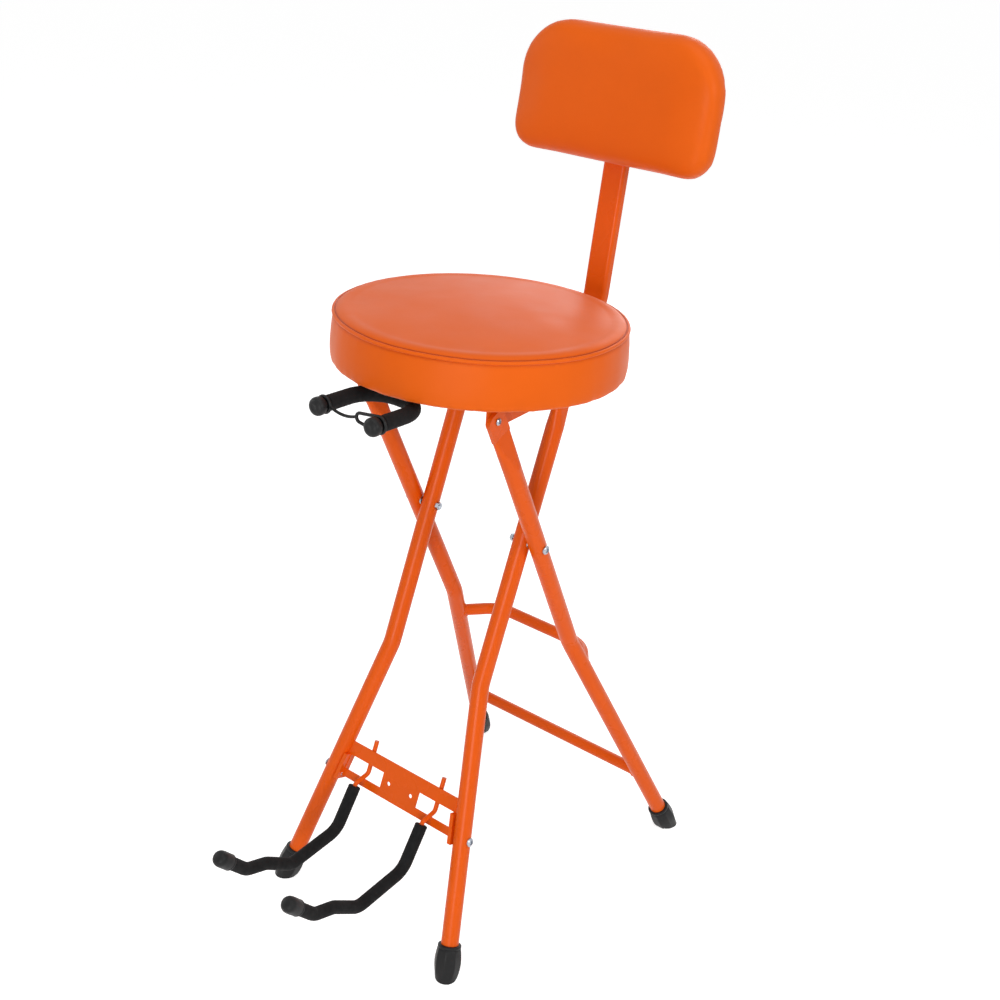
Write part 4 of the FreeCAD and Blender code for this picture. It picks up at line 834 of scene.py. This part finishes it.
def weldBeads():
    # Painted beads round the ends of the two rear bars, rippled along their length.
    thick = bars["bead"] * (1 + bars["ripple"] * np.sin(bars["ripples"] * around(bars["points"])))
    sheets = []
    for _, side in bothSides:
        floorPoint, upper = legLine(outerFrame, side)
        up = upper - floorPoint
        atCross, atBow = (floorPoint + up * z / up[2] for z in (bars["crossZ"], bars["bowZ"]))
        corner = np.array([side * bars["bowCorner"], atBow[1] + bars["bowDepth"], bars["bowZ"]])
        runs = [(atCross * [0, 1, 1], np.array([side, 0.0, 0.0])), (corner, atBow - corner)]
        for start, ahead in runs:
            loop = weldLoop(start, ahead, floorPoint, up)
            sheets.append((loopTube(loop, thick, bars["sides"]), True, True))
    build("weld_beads", sheets, orangeEnamel, "outer_frame", creaseAngle=80)


for sideName, side in bothSides:
    rubberFoot("rear_foot_" + sideName, outerFrame, side, "outer_frame", "outer_foot_" + sideName)
    rubberFoot("front_foot_" + sideName, innerFrame, side, "inner_frame", "inner_foot_" + sideName)
for sideName, side in bothSides:
    pivotScrews(sideName, side)
plateScrews()
weldBeads()
print("stool: frames dressed")


# Neck yoke.

foam = {"step": 2.0, "sides": 40, "ripple": 0.008}
yoke = {
    "z": 708.593, "half": 40.0, "back": seatY - 135, "front": seatY - 206.2, "bend": 36,
    "sleeve": 9.0, "edge": 1.6, "ripples": (0.9, 0.23),
}
yokeCap = {
    "back": seatY - 206.5, "reach": 30, "sides": 64,
    # (distance out along the arm, radius)
    "stations": [
        (0, 0), (0, 6.2), (0.7, 6.9), (1.4, 7), (5.2, 7), (5.9, 7.5), (6.6, 8.8), (7.8, 9.8), (9.6, 10.35),
        (12.5, 10.5), (14.5, 10.3), (16.2, 9.6), (17.5, 8.5), (18.4, 7.0), (18.9, 5.2), (19.0, 3.8),
        (18.8, 3.0), (18.6, 1.6), (18.6, 0),
    ],
}
strap = {
    "y": seatY - 209.5, "thick": 1.9, "neck": 7.1, "eyeReach": 27, "eyeEnd": 5.2, "sag": 4.0, "sides": 14,
    "ringPoints": 64, "nearPoints": 40, "farPoints": 24, "bandPoints": 60,
    "bandShare": 0.92, "bandEdge": 0.5, "step": 1.0,
}
handScrew = {
    # (distance up from the head's face, radius) to the collar's end; the shank takes what is left
    "head": [
        (0, 0), (0, 6.0), (0.4, 6.4), (0.4, 8.6), (0.9, 10.6), (2.2, 12.2), (4.0, 13.0), (7.5, 13.0),
        (9.6, 12.3), (10.7, 10.8), (11, 9), (11, 6.4), (11.6, 5.8), (13.5, 5.6), (14, 5.0), (14, 3.0),
    ],
    "shank": 3.0, "tipLength": 0.8, "tip": 2.2, "sides": 96,
    "lobes": 6, "lobeDeep": 0.075, "lobeIn": (0.3, 0.9), "lobeTop": 10.9,
}


def foamTube(route, settings, beside):
    # Foam pushed over a bent rod: a tube with rounded rims, its radius rippling with two slow waves.
    length = distances(route)[-1]
    stations = tubeStations(length, settings["sleeve"], settings["edge"], foam["step"])
    s = stations[:, :1]
    quick, slow = settings["ripples"]
    ripple = 1 + foam["ripple"] * np.sin(s * quick) * np.sin(s * slow)
    return carry(route, stations, foam["sides"], beside, ripple)


def yokeSleeve():
    # Foam along the yoke's U: two arms and the bent run behind them.
    h, z, front, rear = (yoke[k] for k in ("half", "z", "front", "back"))
    route = bentRoute([(h, front, z), (h, rear, z), (-h, rear, z), (-h, front, z)], yoke["bend"])
    grid = foamTube(route, yoke, (0, 0, 1))
    sleeve = build("yoke_foam", [(grid, False, True)], blackFoam, "yoke", ["yoke_sleeve"])


def yokeKnob(name, side):
    # Mushroom-shaped end turned about its arm, with a small dish in its face.
    x, y, z = side * yoke["half"], yokeCap["back"], yoke["z"]
    route = np.array([(x, y, z), (x, y - yokeCap["reach"], z)], float)
    grid = carry(route, yokeCap["stations"], yokeCap["sides"], (1, 0, 0))
    build(name, [(grid, False, True)], blackRubber, "yoke", [name.replace("cap", "knob")],
          creaseAngle=48)


def neckBand():
    # Rubber strap: a ring on one neck, a slack band that sags as a parabola, and a long eye, two
    # arcs joined by their common tangents, hooked over the other neck.
    h, z, thick, sides = yoke["half"], yoke["z"], strap["thick"], strap["sides"]
    grip, end = strap["neck"] + thick, strap["eyeEnd"]
    farX = h - strap["eyeReach"]

    def flat(x, height):
        return np.stack([x, np.full_like(x, strap["y"]), height], axis=1)

    a = around(strap["ringPoints"])
    ring = flat(-h + grip * np.cos(a), z + grip * np.sin(a))
    lean = math.pi - math.acos((grip - end) / strap["eyeReach"])
    near = np.linspace(-lean, lean, strap["nearPoints"])
    far = np.linspace(lean, 2 * np.pi - lean, strap["farPoints"])
    eye = flat(np.concatenate([h + grip * np.cos(near), farX + end * np.cos(far)]),
               np.concatenate([z + grip * np.sin(near), z + end * np.sin(far)]))
    eye = evenRoute(np.concatenate([eye, eye[:1]]), strap["step"])[:-1]
    t = np.linspace(0, 1, strap["bandPoints"])
    start = -h + grip
    band = flat(start + t * (farX - end - start), z - 4 * strap["sag"] * t * (1 - t))
    stations = tubeStations(distances(band)[-1], thick * strap["bandShare"], strap["bandEdge"], strap["step"])
    build("neck_band", [
        (loopTube(ring, thick, sides), True, True), (loopTube(eye, thick, sides), True, True),
        (carry(band, stations, sides, (0, 1, 0)), False, True),
    ], blackRubber, "yoke", ["neck_strap"])


def clampKnob(name, node, body):
    # Six-lobed hand screw: radius swings with six waves round the head, a plain collar and shank above.
    low, high = (np.array(c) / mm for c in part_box(node))
    x, y = (low[:2] + high[:2]) / 2
    length = high[2] - low[2]
    shank = [(length - handScrew["tipLength"], handScrew["shank"]), (length, handScrew["tip"]), (length, 0)]
    stations = np.array(handScrew["head"] + shank)
    a, s = around(handScrew["sides"])[None, :], stations[:, :1]
    lobed = ramp(s, *handScrew["lobeIn"]) * (s < handScrew["lobeTop"])
    shape = 1 - lobed * handScrew["lobeDeep"] * (1 - np.cos(handScrew["lobes"] * a))
    route = np.array([(x, y, low[2]), (x, y, high[2])])
    grid = carry(route, stations, handScrew["sides"], (1, 0, 0), shape)
    build(name, [(grid, False, True)], blackPlastic, body, [node], creaseAngle=42)


yokeSleeve()
for sideName, side in bothSides:
    yokeKnob("yoke_cap_" + sideName, side)
neckBand()
clampKnob("yoke_hand_screw", "yoke_thumb_screw", "yoke_clamp")
clampKnob("back_hand_screw", "backrest_knob", "backrest_clamp")
print("stool: yoke dressed")


# Cradle arms.

cradle = {
    "hookY": seatY - 105.339, "hookZ": 164.071, "x": 57.0, "bend": 26, "start": 4,
    "sleeve": 8.0, "edge": 1.4, "ripples": (0.8, 0.19),
    # corners of the arm in the inner frame's plane, out and down from the hook
    "run": [(15.7, 3.39), (30, 66), (101, 100), (149, 89), (182, 90.5), (229, 68)],
    # cap over the arm's end: (distance from where it grips the sleeve, radius)
    "grip": 16, "capReach": 12, "capSides": 40,
    "cap": [
        (0, 0), (0, 9.0), (0.3, 9.6), (1.0, 10.0), (2.6, 10.0), (3.0, 9.7), (3.6, 9.8), (9, 10.0),
        (17, 10.0), (20, 9.7), (22.5, 8.8), (24.4, 7.2), (25.5, 5.0), (25.95, 2.6), (26, 0),
    ],
}


def cradleFoam(sideName, side):
    # Foam tube down the arm's bends, with a domed rubber cap over its end.
    t = math.radians(innerFrame["lean"])
    w, u = -np.array(cradle["run"], float).T
    y = cradle["hookY"] + w * math.cos(t) + u * math.sin(t)
    z = cradle["hookZ"] - w * math.sin(t) + u * math.cos(t)
    corners = np.stack([np.full_like(y, side * cradle["x"]), y, z], axis=1)
    corners[0] += cradle["start"] * unit(corners[1] - corners[0])
    grid = foamTube(bentRoute(corners, cradle["bend"]), cradle, (1, 0, 0))
    body = "cradle_arm_" + sideName
    sleeve = build("cradle_foam_" + sideName, [(grid, False, True)], blackFoam, body,
                   ["cradle_sleeve_" + sideName])
    ahead = unit(corners[-1] - corners[-2])
    line = np.stack([corners[-1] - cradle["grip"] * ahead, corners[-1] + cradle["capReach"] * ahead])
    cap = carry(line, cradle["cap"], cradle["capSides"], (1, 0, 0))
    build("cradle_end_" + sideName, [(cap, False, True)], blackRubber, body,
          ["cradle_tip_" + sideName])


for sideName, side in bothSides:
    cradleFoam(sideName, side)
print("stool: cradle dressed")


# Floor and light.

studio = {
    "floorHalf": 60000.0, "floorGlow": 0.72, "floorTone": 0.80, "floorRough": 0.9, "sky": 0.34,
    # (name, place and aim in metres, width, watts)
    "lamps": [
        ("top", (0.4, -0.3, 3.0), (0, 0.05, 0.6), 2.2, 19),
        ("front", (1.2, -2.5, 0.75), (0, 0, 0.5), 1.2, 26),
        ("left", (-2.4, -1.2, 1.4), (0, 0, 0.6), 1.2, 10),
        ("right", (2.5, -0.2, 1.7), (0, 0, 0.6), 1.0, 19),
        ("rear", (-1.0, 2.7, 1.6), (0, 0, 0.6), 1.6, 16),
    ],
}


def whiteForEye(tree):
    # 1 for rays straight from the eye, or by way of a mirror or glass, and 0 for light's own rays.
    path = tree.nodes.new("ShaderNodeLightPath")
    total = path.outputs["Is Camera Ray"]
    for ray in ("Is Glossy Ray", "Is Transmission Ray"):
        most = tree.nodes.new("ShaderNodeMath")
        most.operation = "MAXIMUM"
        tree.links.new(total, most.inputs[0])
        tree.links.new(path.outputs[ray], most.inputs[1])
        total = most.outputs["Value"]
    return total


def addFloor():
    half = studio["floorHalf"]
    corners = np.array([(-half, -half, 0), (half, -half, 0), (half, half, 0), (-half, half, 0)])
    mesh = bpy.data.meshes.new("floor")
    mesh.from_pydata((corners * mm).tolist(), [], [(0, 1, 2, 3)])
    look = bpy.data.materials.new("pale_floor")
    look.use_nodes = True
    tree = look.node_tree
    shader = tree.nodes["Principled BSDF"]
    shader.inputs["Base Color"].default_value = (studio["floorTone"],) * 3 + (1,)
    shader.inputs["Roughness"].default_value = studio["floorRough"]
    shader.inputs["Specular IOR Level"].default_value = 0.0
    shader.inputs["Emission Color"].default_value = (1, 1, 1, 1)
    glow = tree.nodes.new("ShaderNodeMath")
    glow.operation = "MULTIPLY"
    glow.inputs[1].default_value = studio["floorGlow"]
    tree.links.new(whiteForEye(tree), glow.inputs[0])
    tree.links.new(glow.outputs["Value"], shader.inputs["Emission Strength"])
    mesh.materials.append(look)
    floor = bpy.data.objects.new("floor", mesh)
    scene.collection.objects.link(floor)


def addSky():
    world = bpy.data.worlds.new("studio")
    scene.world = world
    world.use_nodes = True
    tree = world.node_tree
    light = tree.nodes["Background"]
    light.inputs["Color"].default_value = (1, 1, 1, 1)
    light.inputs["Strength"].default_value = studio["sky"]
    white = tree.nodes.new("ShaderNodeBackground")
    white.inputs["Strength"].default_value = 1.0
    white.inputs["Color"].default_value = (1, 1, 1, 1)
    either = tree.nodes.new("ShaderNodeMixShader")
    tree.links.new(whiteForEye(tree), either.inputs["Fac"])
    tree.links.new(light.outputs["Background"], either.inputs[1])
    tree.links.new(white.outputs["Background"], either.inputs[2])
    tree.links.new(either.outputs["Shader"], tree.nodes["World Output"].inputs["Surface"])


def addLamps():
    for name, at, aim, size, watts in studio["lamps"]:
        lamp = bpy.data.lights.new("lamp_" + name, "AREA")
        lamp.shape = "DISK"
        lamp.size = size
        lamp.energy = watts
        holder = bpy.data.objects.new("lamp_" + name, lamp)
        holder.location = at
        holder.rotation_euler = (Vector(aim) - Vector(at)).to_track_quat("-Z", "Y").to_euler()
        scene.collection.objects.link(holder)


addFloor()
addSky()
addLamps()
scene.view_settings.view_transform = "Standard"
print("stool: studio set")
